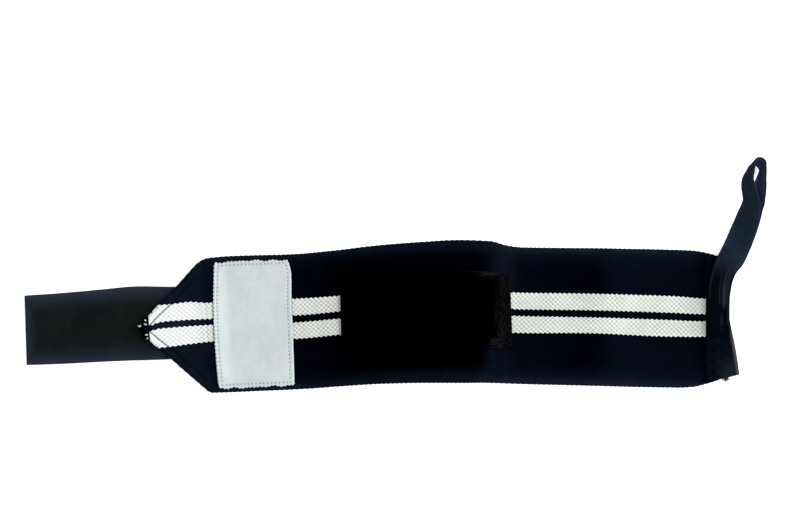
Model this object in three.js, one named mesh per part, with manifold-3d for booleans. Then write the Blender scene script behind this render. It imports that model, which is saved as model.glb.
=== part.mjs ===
// Wrist wrap: a striped elastic band laid out flat, with a hook tab at one end and a thumb loop at the other.
// Millimetres, +Z up, floor at Z = 0. X runs along the band towards the thumb loop, and Y across it.

import * as THREE from 'three';
import { mergeVertices } from 'three/addons/utils/BufferGeometryUtils.js';
import Module from 'manifold-3d';

// Cloth thicknesses, and the gap kept between two layers
const BAND_THICKNESS = 1.6;
const HOOK_TAPE_THICKNESS = 1.6;
const LOOP_TAPE_THICKNESS = 2;
const LABEL_THICKNESS = 1;
const BINDING_THICKNESS = 1;
const THUMB_TAPE_THICKNESS = 1.1;
const LAYER_GAP = 0.25;

// Heights of the stacked layers at the two ends of the band
const FLAP_DROP = BAND_THICKNESS + LAYER_GAP;
const FOLD_LIFT = HOOK_TAPE_THICKNESS + LAYER_GAP + FLAP_DROP;
const BOUND_LIFT = BINDING_THICKNESS + LAYER_GAP;
const BINDING_HEIGHT = 2 * BOUND_LIFT + BAND_THICKNESS;
const LEG_PITCH = THUMB_TAPE_THICKNESS + LAYER_GAP;
const LEG_STACK_HEIGHT = BINDING_HEIGHT + LAYER_GAP + THUMB_TAPE_THICKNESS + LAYER_GAP / 2;

// Band: the point of the V, the raw end inside the binding, and the nominal half width
const TIP_X = -142.7;
const RAW_END_X = 181.5;
const HALF_BAND = 37.5;
const SHOULDER_X = -105.4;
const SHOULDER_ROUNDING = { low: 2, high: 8 };
const FOLD_EDGE_LIFT = 2.05;

// Rows along the band: centre line, width, and underside height on the centre line and at the selvedge
const BAND_ROWS = [
  { x: TIP_X, y: -30.5, width: 74.2, lift: FOLD_LIFT, edge: FOLD_EDGE_LIFT },
  { x: SHOULDER_X, y: -27.9, width: 74.2, lift: FOLD_LIFT, edge: FOLD_EDGE_LIFT },
  { x: -91, y: -27, width: 75, lift: 0, edge: 0 },
  { x: -53.2, y: -25.5, width: 74.3, lift: 0, edge: 0 },
  { x: -31, y: -23.6, width: 74.6, lift: 2, edge: 0.6 },
  { x: -8.9, y: -21.7, width: 76.2, lift: 3, edge: 1 },
  { x: 13.3, y: -20.6, width: 77.5, lift: 3, edge: 1 },
  { x: 35.5, y: -20, width: 78.7, lift: 3, edge: 1 },
  { x: 49.3, y: -20.2, width: 78.1, lift: 2.8, edge: 0.9 },
  { x: 57.6, y: -21.4, width: 75.9, lift: 1.2, edge: 0.4 },
  { x: 67, y: -22.2, width: 75.1, lift: 0, edge: 0 },
  { x: 94, y: -22.7, width: 75.4, lift: 0, edge: 0 },
  { x: 114.7, y: -23.1, width: 75.8, lift: 1.4, edge: 1 },
  { x: 136, y: -23.5, width: 75.8, lift: 0, edge: 0 },
  { x: 156, y: -23.8, width: 75.5, lift: 0, edge: 0 },
  { x: 163.5, y: -23.9, width: 75, lift: 0.4, edge: 0.4 },
  { x: 171.7, y: -23.7, width: 71.6, lift: BOUND_LIFT, edge: BOUND_LIFT },
  { x: RAW_END_X, y: -23.6, width: 66.5, lift: BOUND_LIFT, edge: BOUND_LIFT },
];

// Stretches of the band and the spacing of their sections
const BAND_STRETCHES = [
  { from: TIP_X + 0.7, to: -88, step: 2.5 },
  { from: -88, to: 42, step: 6 },
  { from: 42, to: 72, step: 2.5 },
  { from: 72, to: 156, step: 6 },
  { from: 156, to: RAW_END_X, step: 3 },
];

// Columns across the band as shares of the half width, the middle share that stays flat, and the selvedge
const BAND_COLUMNS = [-1, -0.95, -0.8, -0.6, 0, 0.6, 0.8, 0.95, 1];
const FLAT_SHARE = 0.6;
const HEADING_REACH = 12;
const SELVEDGE_INSET = 0.28 * BAND_THICKNESS;

// Corner flaps folded under the V: the slit on the centre line and the sewn margin along the fold
const FLAP_SLIT = 0.15;
const FOLD_MARGIN = 3;
const FOLD_INSET = 0.2;
const FOLD_ROUND = 0.8;
const FLAP_START_X = TIP_X + 5;
const FLAP_COLUMNS = 5;
const FLAP_STEP = 3;

// Rows along the hook tab: centre line and width
const TAB_ROWS = [
  { x: -204.8, y: -30.5, width: 38.2 },
  { x: -183.9, y: -29.4, width: 38.9 },
  { x: -164, y: -28, width: 39.6 },
  { x: -141.8, y: -26.6, width: 40.7 },
  { x: -120.8, y: -26.4, width: 39.6 },
  { x: -106.4, y: -26, width: 39.3 },
];
const TAB_STEP = 8;
const TAB_EDGE_INSET = 0.3;

// Panels sewn on the band: their ends along it, how far each end leans per mm across, and their edges across it
const LABEL_PANEL = { start: -99.6, startLean: 0, end: -58.3, endLean: 0, low: -35.3, high: 34.2, step: 2.5 };
const PATCH_PANEL = { start: -30.6, startLean: 0.07, end: 63.7, endLean: -0.12, low: -19, high: 22, step: 3 };
const PANEL_COLUMNS = 8;

// Rows along the band's bound end: the binding's free edge on the band and its fold past the raw end
const BINDING_ROWS = [
  { edgeX: 171.8, edgeY: -59.6, foldX: 189.4, foldY: -54.9 },
  { edgeX: 171.8, edgeY: -51, foldX: 188, foldY: -47 },
  { edgeX: 171.8, edgeY: -40, foldX: 186.7, foldY: -38.8 },
  { edgeX: 171.8, edgeY: -24, foldX: 184.6, foldY: -22.2 },
  { edgeX: 171.8, edgeY: -13.5, foldX: 184.8, foldY: -13.9 },
  { edgeX: 171.8, edgeY: 0, foldX: 186.6, foldY: -1.2 },
  { edgeX: 171.8, edgeY: 11.6, foldX: 187.2, foldY: 7 },
];
const FOLD_ARC_STEPS = 4;

// Thumb tape: rows along its two stacked legs, with their middle, width, roll towards -X and spacing
const THUMB_EDGE_INSET = 0.35;
const THUMB_ROWS = [
  { at: 0, x: 178.3, y: -33, z: LEG_STACK_HEIGHT, width: 12.5, roll: 0, spacing: LEG_PITCH },
  { at: 1, x: 178.3, y: -19.5, z: LEG_STACK_HEIGHT, width: 12.5, roll: 0, spacing: LEG_PITCH },
  { at: 2, x: 178.7, y: -8.4, z: LEG_STACK_HEIGHT, width: 12.6, roll: 0, spacing: LEG_PITCH },
  { at: 3, x: 181.7, y: 2.7, z: LEG_STACK_HEIGHT, width: 13.2, roll: 0, spacing: LEG_PITCH },
  { at: 4, x: 186.3, y: 10.6, z: LEG_STACK_HEIGHT, width: 15, roll: 0, spacing: LEG_PITCH },
  { at: 5, x: 189.8, y: 17.8, z: 5.9, width: 15, roll: 8, spacing: LEG_PITCH },
  { at: 6, x: 192.8, y: 25.3, z: 6.6, width: 15, roll: 22, spacing: LEG_PITCH },
  { at: 7, x: 195.4, y: 31.5, z: 7.8, width: 15, roll: 31, spacing: 1.4 },
  { at: 8, x: 197.2, y: 37.2, z: 9.2, width: 15, roll: 44, spacing: 1.5 },
  { at: 9, x: 197.9, y: 41.5, z: 10.2, width: 15, roll: 51, spacing: 1.9 },
  { at: 10, x: 198.1, y: 47, z: 11.4, width: 15, roll: 60, spacing: 5.2 },
  { at: 11, x: 198.1, y: 52, z: 11.1, width: 14.7, roll: 70, spacing: 7.4 },
  { at: 12, x: 199.6, y: 58.4, z: 8.5, width: 14.4, roll: 77, spacing: 8 },
];
const THUMB_STEPS_PER_ROW = 3;
const THUMB_TURN_STEPS = 8;

// Finishes
const NAVY_ELASTIC = { color: 0x060c16, roughness: 0.85, metalness: 0 };
const HOOK_TAPE_BLACK = { color: 0x14191a, roughness: 0.7, metalness: 0 };
const LOOP_PILE_BLACK = { color: 0x020203, roughness: 1, metalness: 0 };
const SATIN_WHITE = { color: 0xcfd8d9, roughness: 0.45, metalness: 0 };
const NAVY_TAPE = { color: 0x0c141b, roughness: 0.8, metalness: 0 };
const THUMB_TAPE_NAVY = { color: 0x1a2330, roughness: 0.75, metalness: 0 };

const UP = new THREE.Vector3(0, 0, 1);

const wasm = await Module();
wasm.setup();

/** Slope of one table column at a row: the harmonic mean of its neighbours, so the curve never overshoots. */
function rowSlope(rows, axis, column, i) {
  const secant = (j) => (rows[j + 1][column] - rows[j][column]) / (rows[j + 1][axis] - rows[j][axis]);
  if (i === 0) return secant(0);
  if (i === rows.length - 1) return secant(i - 1);
  const before = secant(i - 1);
  const after = secant(i);
  return before * after > 0 ? (2 * before * after) / (before + after) : 0;
}

/** Read every column of a table at one place along its axis column, by a monotone cubic. */
function readTable(rows, axis, place) {
  let i = 0;
  while (i < rows.length - 2 && place > rows[i + 1][axis]) i += 1;
  const span = rows[i + 1][axis] - rows[i][axis];
  const t = THREE.MathUtils.clamp((place - rows[i][axis]) / span, 0, 1);
  const row = {};
  for (const column of Object.keys(rows[i])) {
    const start = rows[i][column];
    const rise = rows[i + 1][column] - start;
    const leave = rowSlope(rows, axis, column, i) * span;
    const arrive = rowSlope(rows, axis, column, i + 1) * span;
    const bend = t * (1 - t);
    row[column] = start + rise * t * t * (3 - 2 * t) + bend * (leave * (1 - t) - arrive * t);
  }
  return row;
}

/** Evenly spaced places from one end to the other, about a step apart. */
function places(from, to, step) {
  const count = Math.max(1, Math.round((to - from) / step));
  return Array.from({ length: count + 1 }, (_, i) => from + ((to - from) * i) / count);
}

/** Smaller of two values, with the corner between them rounded over a given reach. */
function roundedMin(a, b, reach) {
  const overlap = Math.max(reach - Math.abs(a - b), 0);
  return Math.min(a, b) - (overlap * overlap) / (4 * reach);
}

/** Triangles that fill a flat closed loop, turning the same way as the loop does. */
function fillLoop(loop) {
  const normal = new THREE.Vector3();
  loop.forEach((point, i) => normal.add(point.clone().cross(loop[(i + 1) % loop.length])));
  const across = loop[1].clone().sub(loop[0]).normalize();
  const along = normal.normalize().clone().cross(across);
  const flat = loop.map((point) => new THREE.Vector2(point.dot(across), point.dot(along)));
  return THREE.ShapeUtils.triangulateShape(flat, []);
}

/** Join equal loops, each anticlockwise about the way they run, into one closed body with filled ends. */
function loft(loops) {
  const size = loops[0].length;
  const last = (loops.length - 1) * size;
  const index = [];
  for (let ring = 0; ring < last; ring += size) {
    for (let k = 0; k < size; k += 1) {
      const next = (k + 1) % size;
      index.push(ring + k, ring + next, ring + size + next);
      index.push(ring + k, ring + size + next, ring + size + k);
    }
  }
  fillLoop(loops[0]).forEach(([a, b, c]) => index.push(a, c, b));
  fillLoop(loops.at(-1)).forEach(([a, b, c]) => index.push(last + a, last + b, last + c));
  const geometry = new THREE.BufferGeometry();
  geometry.setAttribute('position', new THREE.Float32BufferAttribute(loops.flat().flatMap((p) => p.toArray()), 3));
  geometry.setIndex(index);
  return geometry;
}

/** Turn a closed geometry into a solid that can be joined to others. */
function toSolid(geometry) {
  const merged = mergeVertices(geometry);
  const vertProperties = new Float32Array(merged.attributes.position.array);
  const triVerts = new Uint32Array(merged.index.array);
  return new wasm.Manifold(new wasm.Mesh({ numProp: 3, vertProperties, triVerts }));
}

/** Join several closed geometries into one body. */
function joinBodies(geometries) {
  const joined = geometries.map(toSolid).reduce((whole, piece) => whole.add(piece)).getMesh();
  const geometry = new THREE.BufferGeometry();
  geometry.setAttribute('position', new THREE.BufferAttribute(joined.vertProperties, 3));
  geometry.setIndex(new THREE.BufferAttribute(joined.triVerts, 1));
  return geometry;
}

/** A named piece with its own finish. */
function piece(name, geometry, finish) {
  geometry.computeVertexNormals();
  const mesh = new THREE.Mesh(geometry, new THREE.MeshStandardMaterial(finish));
  mesh.name = name;
  return mesh;
}

/** Point of a strip's plan at a place along its table and a distance to the left of its centre line. */
function stripPoint(rows, x, offset, height) {
  const before = Math.max(x - HEADING_REACH, rows[0].x);
  const after = Math.min(x + HEADING_REACH, rows.at(-1).x);
  const slope = (readTable(rows, 'x', after).y - readTable(rows, 'x', before).y) / (after - before);
  const tilt = Math.atan(slope);
  const { y } = readTable(rows, 'x', x);
  return new THREE.Vector3(x - offset * Math.sin(tilt), y + offset * Math.cos(tilt), height);
}

/** Half width on one side of the band: the table's, cut back by the folds that run at 45 degrees from the tip. */
function bandHalfWidth(x, side) {
  const rounding = side > 0 ? SHOULDER_ROUNDING.high : SHOULDER_ROUNDING.low;
  return roundedMin(readTable(BAND_ROWS, 'x', x).width / 2, x - TIP_X, rounding);
}

/** Height of the band's underside: flat over its middle share and easing to the selvedge height beyond it. */
function bandUnderside(x, offset) {
  const { lift, edge } = readTable(BAND_ROWS, 'x', x);
  const share = THREE.MathUtils.smoothstep(Math.abs(offset) / HALF_BAND, FLAT_SHARE, 1);
  return lift + (edge - lift) * share;
}

/** Point over the band at a place along it, an offset across it and a height above its underside. */
function bandPoint(x, offset, height) {
  return stripPoint(BAND_ROWS, x, offset, bandUnderside(x, offset) + height);
}

/** Section of the band at a place along it, with thinned selvedges. */
function bandSection(x) {
  const offset = (share) => share * bandHalfWidth(x, Math.sign(share));
  const edgeInset = (share) => (Math.abs(share) === 1 ? SELVEDGE_INSET : 0);
  const under = BAND_COLUMNS.map((share) => bandPoint(x, offset(share), edgeInset(share)));
  const over = BAND_COLUMNS.map((share) => bandPoint(x, offset(share), BAND_THICKNESS - edgeInset(share)));
  return [...under, ...over.reverse()];
}

/** Section of one corner flap under the V: a flat leaf that joins the band's fold along its outer margin. */
function flapSection(x, side) {
  const outer = bandHalfWidth(x, side) - FOLD_INSET;
  const inner = outer - FOLD_MARGIN;
  const leaf = places(FLAP_SLIT, inner, (inner - FLAP_SLIT) / FLAP_COLUMNS);
  const profile = [
    ...leaf.map((offset) => [offset, -FLAP_DROP]),
    [outer - FOLD_ROUND, -FLAP_DROP],
    [outer, FOLD_ROUND - FLAP_DROP],
    [outer, BAND_THICKNESS / 2],
    [inner, BAND_THICKNESS / 2],
    ...leaf.toReversed().map((offset) => [offset, -LAYER_GAP]),
  ];
  const loop = profile.map(([offset, height]) => bandPoint(x, side * offset, height));
  return side > 0 ? loop : loop.reverse();
}

/** The elastic band with its end folded under to a V. */
function makeBand() {
  const stations = BAND_STRETCHES.flatMap(({ from, to, step }) => places(from, to, step).slice(0, -1));
  const sheet = loft([...stations, RAW_END_X].map(bandSection));
  const flapStations = places(FLAP_START_X, SHOULDER_X, FLAP_STEP);
  const flaps = [1, -1].map((side) => loft(flapStations.map((x) => flapSection(x, side))));
  return piece('wrap_band', joinBodies([sheet, ...flaps]), NAVY_ELASTIC);
}

/** The hook tape tab, flat on the floor and partly under the V. */
function makeHookTab() {
  const section = (x) => {
    const half = readTable(TAB_ROWS, 'x', x).width / 2;
    const profile = [
      [-half, TAB_EDGE_INSET],
      [-half + TAB_EDGE_INSET, 0],
      [half - TAB_EDGE_INSET, 0],
      [half, TAB_EDGE_INSET],
      [half, HOOK_TAPE_THICKNESS],
      [-half, HOOK_TAPE_THICKNESS],
    ];
    return profile.map(([offset, height]) => stripPoint(TAB_ROWS, x, offset, height));
  };
  const stations = places(TAB_ROWS[0].x, TAB_ROWS.at(-1).x, TAB_STEP);
  return piece('hook_tab', loft(stations.map(section)), HOOK_TAPE_BLACK);
}

/** A flat panel that follows the band's upper face between two places along it. */
function bandPanel({ start, startLean, end, endLean, low, high, step }, thickness) {
  const offsets = places(low, high, (high - low) / PANEL_COLUMNS);
  const base = BAND_THICKNESS + LAYER_GAP;
  const section = (share) => {
    const x = (offset) => THREE.MathUtils.lerp(start + startLean * offset, end + endLean * offset, share);
    const under = offsets.map((offset) => bandPoint(x(offset), offset, base));
    const over = offsets.map((offset) => bandPoint(x(offset), offset, base + thickness));
    return [...under, ...over.reverse()];
  };
  return loft(places(0, 1, step / (end - start)).map(section));
}

/** Profile of the folded binding: distance in from the fold and height, from the lower leaf round to the upper. */
function bindingProfile(reach) {
  const radius = BINDING_HEIGHT / 2;
  const arc = (size) => places(-Math.PI / 2, Math.PI / 2, Math.PI / FOLD_ARC_STEPS).map((angle) => [
    radius - size * Math.cos(angle),
    radius + size * Math.sin(angle),
  ]);
  const outside = arc(radius);
  const inside = arc(radius - BINDING_THICKNESS);
  return [
    [reach, 0],
    [reach, BINDING_THICKNESS],
    ...inside,
    [reach, BINDING_HEIGHT - BINDING_THICKNESS],
    [reach, BINDING_HEIGHT],
    ...outside.reverse(),
  ];
}

/** The tape folded over the band's raw end. */
function makeEndBinding() {
  const loops = BINDING_ROWS.map(({ edgeX, edgeY, foldX, foldY }) => {
    const fold = new THREE.Vector3(foldX, foldY, 0);
    const inward = new THREE.Vector3(edgeX - foldX, edgeY - foldY, 0);
    const reach = inward.length();
    inward.normalize();
    return bindingProfile(reach).map(([distance, height]) =>
      fold.clone().addScaledVector(inward, distance).addScaledVector(UP, height));
  });
  return piece('end_binding', loft(loops), NAVY_TAPE);
}

/** Middle, direction, stack normal and spacing of the thumb loop's two legs at a place in its table. */
function thumbStack(at) {
  const { x, y, z, width, roll, spacing } = readTable(THUMB_ROWS, 'at', at);
  const reach = 0.05;
  const ahead = readTable(THUMB_ROWS, 'at', at + reach);
  const behind = readTable(THUMB_ROWS, 'at', at - reach);
  const along = new THREE.Vector3(ahead.x - behind.x, ahead.y - behind.y, ahead.z - behind.z).normalize();
  const left = UP.clone().cross(along).normalize();
  const level = along.clone().cross(left);
  const angle = THREE.MathUtils.degToRad(roll);
  const normal = level.multiplyScalar(Math.cos(angle)).addScaledVector(left, Math.sin(angle));
  return { middle: new THREE.Vector3(x, y, z), along, normal, width, spacing };
}

/** Section of the thumb tape: a flat strip with rounded edges, square to the way it runs. */
function thumbSection(centre, along, across, width) {
  const half = width / 2;
  const thick = THUMB_TAPE_THICKNESS / 2;
  const face = along.clone().cross(across);
  const profile = [
    [-half, 0],
    [-half + THUMB_EDGE_INSET, -thick],
    [half - THUMB_EDGE_INSET, -thick],
    [half, 0],
    [half - THUMB_EDGE_INSET, thick],
    [-half + THUMB_EDGE_INSET, thick],
  ];
  return profile.map(([a, b]) => centre.clone().addScaledVector(across, a).addScaledVector(face, b));
}

/** The thumb loop: out along the upper leg, round the turn and back along the lower leg. */
function makeThumbLoop() {
  const end = THUMB_ROWS.length - 1;
  const stacks = places(0, end, 1 / THUMB_STEPS_PER_ROW).map(thumbStack);
  const leg = (side) => stacks.map(({ middle, along, normal, width, spacing }) => {
    const centre = middle.clone().addScaledVector(normal, (side * spacing) / 2);
    return thumbSection(centre, along.clone().multiplyScalar(side), normal.clone().cross(along), width);
  });
  const { middle, along, normal, width, spacing } = stacks.at(-1);
  const across = normal.clone().cross(along);
  const turn = places(0, Math.PI, Math.PI / THUMB_TURN_STEPS).slice(1, -1).map((angle) => {
    const spoke = normal.clone().multiplyScalar(Math.cos(angle)).addScaledVector(along, Math.sin(angle));
    const heading = along.clone().multiplyScalar(Math.cos(angle)).addScaledVector(normal, -Math.sin(angle));
    return thumbSection(middle.clone().addScaledVector(spoke, spacing / 2), heading, across, width);
  });
  const loops = [...leg(1), ...turn, ...leg(-1).reverse()];
  return piece('thumb_loop', loft(loops), THUMB_TAPE_NAVY);
}

const wristWrap = new THREE.Group();
wristWrap.add(
  makeBand(),
  makeHookTab(),
  piece('loop_patch', bandPanel(PATCH_PANEL, LOOP_TAPE_THICKNESS), LOOP_PILE_BLACK),
  piece('label', bandPanel(LABEL_PANEL, LABEL_THICKNESS), SATIN_WHITE),
  makeEndBinding(),
  makeThumbLoop(),
);

export default wristWrap;
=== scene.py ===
"""Looks of a wrist wrap laid out flat: woven band, tapes, label, pile, seams and frayed yarn.

Every piece is a surface worked out with numpy in the part's own frame. Shapes are in millimetres and are
turned into metres when a mesh is made. X runs along the band, Y across it and Z up from the floor.
"""

import logging
from dataclasses import dataclass, field
from enum import Enum
from typing import NamedTuple

import bpy
import numpy as np
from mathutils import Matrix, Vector
from numpy.typing import NDArray


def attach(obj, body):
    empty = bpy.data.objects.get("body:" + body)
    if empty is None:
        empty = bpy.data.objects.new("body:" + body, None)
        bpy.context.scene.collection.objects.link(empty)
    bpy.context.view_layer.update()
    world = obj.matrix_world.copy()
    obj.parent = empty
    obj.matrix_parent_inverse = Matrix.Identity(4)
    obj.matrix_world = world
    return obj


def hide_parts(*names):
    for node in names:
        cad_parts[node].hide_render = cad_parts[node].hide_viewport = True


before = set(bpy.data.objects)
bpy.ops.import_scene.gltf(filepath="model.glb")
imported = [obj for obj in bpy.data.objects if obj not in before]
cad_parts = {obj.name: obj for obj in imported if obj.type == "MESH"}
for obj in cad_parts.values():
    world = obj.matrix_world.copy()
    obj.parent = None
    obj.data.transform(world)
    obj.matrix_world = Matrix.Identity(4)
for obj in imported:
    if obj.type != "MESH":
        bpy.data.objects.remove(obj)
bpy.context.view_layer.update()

LOG = logging.getLogger("wrist_wrap")
MM = 0.001
BODY = "root"
SEED = 41
TINY = 1e-9
STEEP = 0.9
PLANE_WAVES = ((1, 0.31, 1, 1), (0.62, -0.83, 1.37, 2.1), (0.24, 1.1, 0.71, 3.7))
STITCH_POINTS = 6
STITCH_STEEPNESS = 0.6
MOTTLE_SHARE = 0.6
TONE_SPAN = (0.3, 0.7)
LINT_SPAN = (0.74, 0.8)
LINT_COLOUR = (0.16, 0.17, 0.18, 1)
MIX_INPUTS = (0, 6, 7)
MIX_OUTPUT = 2
Array = NDArray[np.float64]


class Table:
    """Named columns of numbers, read against the first column by a monotone cubic."""

    def __init__(self, names: str, rows: list[tuple[float, ...]]) -> None:
        """Keep the rows as one array per column.

        Args:
            names: The columns' names, with spaces between them.
            rows: One tuple of numbers for each row.
        """
        self.names = names.split()
        self.columns = dict(zip(self.names, np.array(rows, float).T))

    def read(self, name: str, at: Array | float) -> Array:
        """Value of a column, by a cubic whose slopes are harmonic means, so that it never overshoots.

        Args:
            name: The column to read.
            at: Places along the first column.

        Returns:
            The column's value at each place.
        """
        x, y = self.columns[self.names[0]], self.columns[name]
        secant = np.diff(y) / np.diff(x)
        product, total = secant[:-1] * secant[1:], secant[:-1] + secant[1:]
        inner = np.where(product > 0, 2 * product / np.where(product > 0, total, 1), 0)
        slope = np.concatenate([secant[:1], inner, secant[-1:]])
        i = np.clip(np.searchsorted(x, at) - 1, 0, len(x) - 2)
        span = x[i + 1] - x[i]
        t = np.clip((at - x[i]) / span, 0, 1)
        bend = t * (1 - t) * span * (slope[i] * (1 - t) - slope[i + 1] * t)
        return y[i] + (y[i + 1] - y[i]) * t * t * (3 - 2 * t) + bend


def ease(value: Array | float, low: float, high: float) -> Array:
    """Smooth step from 0 at low to 1 at high."""
    t = np.clip((np.asarray(value, float) - low) / (high - low), 0, 1)
    return t * t * (3 - 2 * t)


def unit(vectors: Array) -> Array:
    """Vectors of length one along the last axis."""
    return vectors / np.maximum(np.linalg.norm(vectors, axis=-1, keepdims=True), TINY)


def ripple(x: Array, y: Array, pitch: float, seed: float) -> Array:
    """Slow uneven swell from -1 to 1: a sum of three plane waves at unlike angles and pitches.

    Args:
        x: Places along the cloth.
        y: Places across it.
        pitch: Length of the first wave.
        seed: Shift of the waves.

    Returns:
        The swell at each place.
    """
    turn = 2 * np.pi / pitch
    waves = [np.sin(turn * (a * x + b * y) * rate + shift * seed) for a, b, rate, shift in PLANE_WAVES]
    return sum(waves) / len(waves)


class Ramp(NamedTuple):
    """A smooth step from 0 at its start to 1 at its end, either of which may be the lower."""

    start: float
    end: float

    def __call__(self, value: Array | float) -> Array:
        """Share of the step at each value."""
        return ease(value, self.start, self.end)


class Swell(NamedTuple):
    """A slow uneven swell: its height, pitch and seed."""

    height: float
    pitch: float
    seed: float


Swells = tuple[Swell, ...]


def unevenness(swells: Swells, x: Array, y: Array) -> Array:
    """Sum of some swells at each place."""
    return sum(swell.height * ripple(x, y, swell.pitch, swell.seed) for swell in swells)


def ridge(distance: Array, width: float) -> Array:
    """Rounded ridge, 1 along its middle: a bell curve of the distance from it over its width."""
    return np.exp(-((distance / width) ** 2))


def wave(run: Array, pitch: float) -> Array:
    """Cosine wave of a pitch along a run."""
    return np.cos(2 * np.pi * run / pitch)


def between(bottom: Array | float, top: Array, side: Array) -> Array:
    """Height between a bottom and a top, by a side from -1 to 1."""
    return (top + bottom) / 2 + side * (top - bottom) / 2


def cloth_map(along: Array, across: Array) -> Array:
    """Two cloth coordinates for each place, along the cloth and across it."""
    return np.stack(np.broadcast_arrays(along, across), -1)


def stitch_run(count: int, cover: float) -> tuple[Array, Array]:
    """Points along a row of threads, each about the middle of its own stitch.

    Args:
        count: Number of stitches.
        cover: Share of its stitch that a thread covers.

    Returns:
        The points' places, counted in stitches, one row for each thread, and the share of the way along it.
    """
    turn = np.linspace(0, 1, STITCH_POINTS)
    return np.arange(count)[:, None] + 0.5 + cover * (turn - 0.5), turn


def stitch_arch(turn: Array) -> Array:
    """Rise of a sewn thread between its two holes, from 0 to 1: a sine with steep ends."""
    return np.sin(np.pi * turn) ** STITCH_STEEPNESS


def beside_line(rows: Table, reach: float, x: Array, offset: Array, height: Array) -> Array:
    """Points beside a centre line, at offsets square to its slope between a place before and one after.

    Args:
        rows: The line's table, with columns x and y.
        reach: How far before and after a point its slope is taken.
        x: Places along the line.
        offset: Offsets across it.
        height: Heights over the floor.

    Returns:
        One point for each place.
    """
    x, offset, height = np.broadcast_arrays(x, offset, height)
    first, last = rows.columns["x"][[0, -1]]
    before, after = np.maximum(x - reach, first), np.minimum(x + reach, last)
    tilt = np.arctan((rows.read("y", after) - rows.read("y", before)) / (after - before))
    return np.stack([x - offset * np.sin(tilt), rows.read("y", x) + offset * np.cos(tilt), height], -1)


def mesh_object(
    name: str, points: Array, faces: list[NDArray[np.int64]], marks: dict[str, Array] | None = None,
    cloth: Array | None = None,
) -> bpy.types.Object:
    """Make a smooth mesh object at the origin from arrays.

    Args:
        name: The piece's name.
        points: Vertices in millimetres, one row each.
        faces: Arrays of vertex numbers, one row for each face, with one array per corner count.
        marks: Values for each vertex that materials read by name.
        cloth: Two cloth coordinates in millimetres for each vertex, for the map named cloth.

    Returns:
        The new object, linked to the scene.
    """
    mesh = bpy.data.meshes.new(name)
    corners = np.concatenate([block.ravel() for block in faces]).astype(np.int32)
    totals = np.concatenate([np.full(len(block), block.shape[1]) for block in faces]).astype(np.int32)
    starts = np.concatenate([[0], np.cumsum(totals)[:-1]]).astype(np.int32)
    mesh.vertices.add(len(points))
    mesh.vertices.foreach_set("co", (points * MM).astype(np.float32).ravel())
    mesh.loops.add(len(corners))
    mesh.loops.foreach_set("vertex_index", corners)
    mesh.polygons.add(len(totals))
    mesh.polygons.foreach_set("loop_start", starts)
    mesh.polygons.foreach_set("loop_total", totals)
    mesh.polygons.foreach_set("use_smooth", np.ones(len(totals), bool))
    for mark, values in (marks or {}).items():
        layer = mesh.attributes.new(mark, "FLOAT", "POINT")
        layer.data.foreach_set("value", np.asarray(values, np.float32).ravel())
    if cloth is not None:
        layer = mesh.uv_layers.new(name="cloth")
        layer.data.foreach_set("uv", cloth[corners].astype(np.float32).ravel())
    mesh.update(calc_edges=True)
    mesh.validate()
    piece = bpy.data.objects.new(name, mesh)
    bpy.context.scene.collection.objects.link(piece)
    return piece


def tube_faces(rings: int, size: int) -> list[NDArray[np.int64]]:
    """Faces of closed rings joined along a path, with each end filled by one many-sided face.

    Args:
        rings: Number of rings.
        size: Points in each ring, anticlockwise about the way the rings run.

    Returns:
        A block of quads and a block with the two ends.
    """
    ring, k = np.meshgrid(np.arange(rings - 1) * size, np.arange(size), indexing="ij")
    after = (k + 1) % size
    quads = np.stack([ring + k, ring + after, ring + size + after, ring + size + k], -1).reshape(-1, 4)
    ends = np.stack([np.arange(size)[::-1], np.arange(size) + (rings - 1) * size])
    return [quads, ends]


def loft(
    name: str, rings: Array, marks: dict[str, Array] | None = None, cloth: Array | None = None
) -> bpy.types.Object:
    """Close a grid of rings, of shape (rings, points, 3), into one body."""
    flat_cloth = None if cloth is None else cloth.reshape(-1, 2)
    return mesh_object(name, rings.reshape(-1, 3), tube_faces(*rings.shape[:2]), marks, flat_cloth)


def strands(
    name: str, paths: Array, radius: Array | float, sides: int = 6, marks: dict[str, Array] | None = None
) -> bpy.types.Object:
    """Many round threads in one mesh: a ring square to each path at each of its points.

    Args:
        name: The piece's name.
        paths: Points of every thread, of shape (threads, points, 3), in millimetres.
        radius: One radius, or one for every thread and point.
        sides: Points in each ring.
        marks: Values for each thread that materials read by name.

    Returns:
        One object that holds all the threads.
    """
    threads, count = paths.shape[:2]
    along = unit(np.gradient(paths, axis=1))
    lean = np.where(np.abs(along[..., 2:]) > STEEP, [1.0, 0, 0], [0, 0, 1.0])
    side = unit(np.cross(along, lean))
    top = np.cross(side, along)
    angle = np.linspace(0, 2 * np.pi, sides, endpoint=False)[:, None]
    size = np.broadcast_to(np.asarray(radius, float), (threads, count))[..., None, None]
    spoke = np.cos(angle) * side[..., None, :] - np.sin(angle) * top[..., None, :]
    rings = paths[..., None, :] + size * spoke
    blocks = tube_faces(count, sides)
    step = (np.arange(threads) * count * sides)[:, None, None]
    faces = [(block[None] + step).reshape(-1, block.shape[1]) for block in blocks]
    spread = {mark: np.repeat(values, count * sides) for mark, values in (marks or {}).items()}
    return mesh_object(name, rings.reshape(-1, 3), faces, spread)


class Noise(Enum):
    """Scales of the uneven tone in cloth: noise cells for each metre, and the number of finer layers."""

    BLOTCH = (45.0, 3)
    MOTTLE = (260.0, 2)
    LINT = (1900.0, 1)


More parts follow.
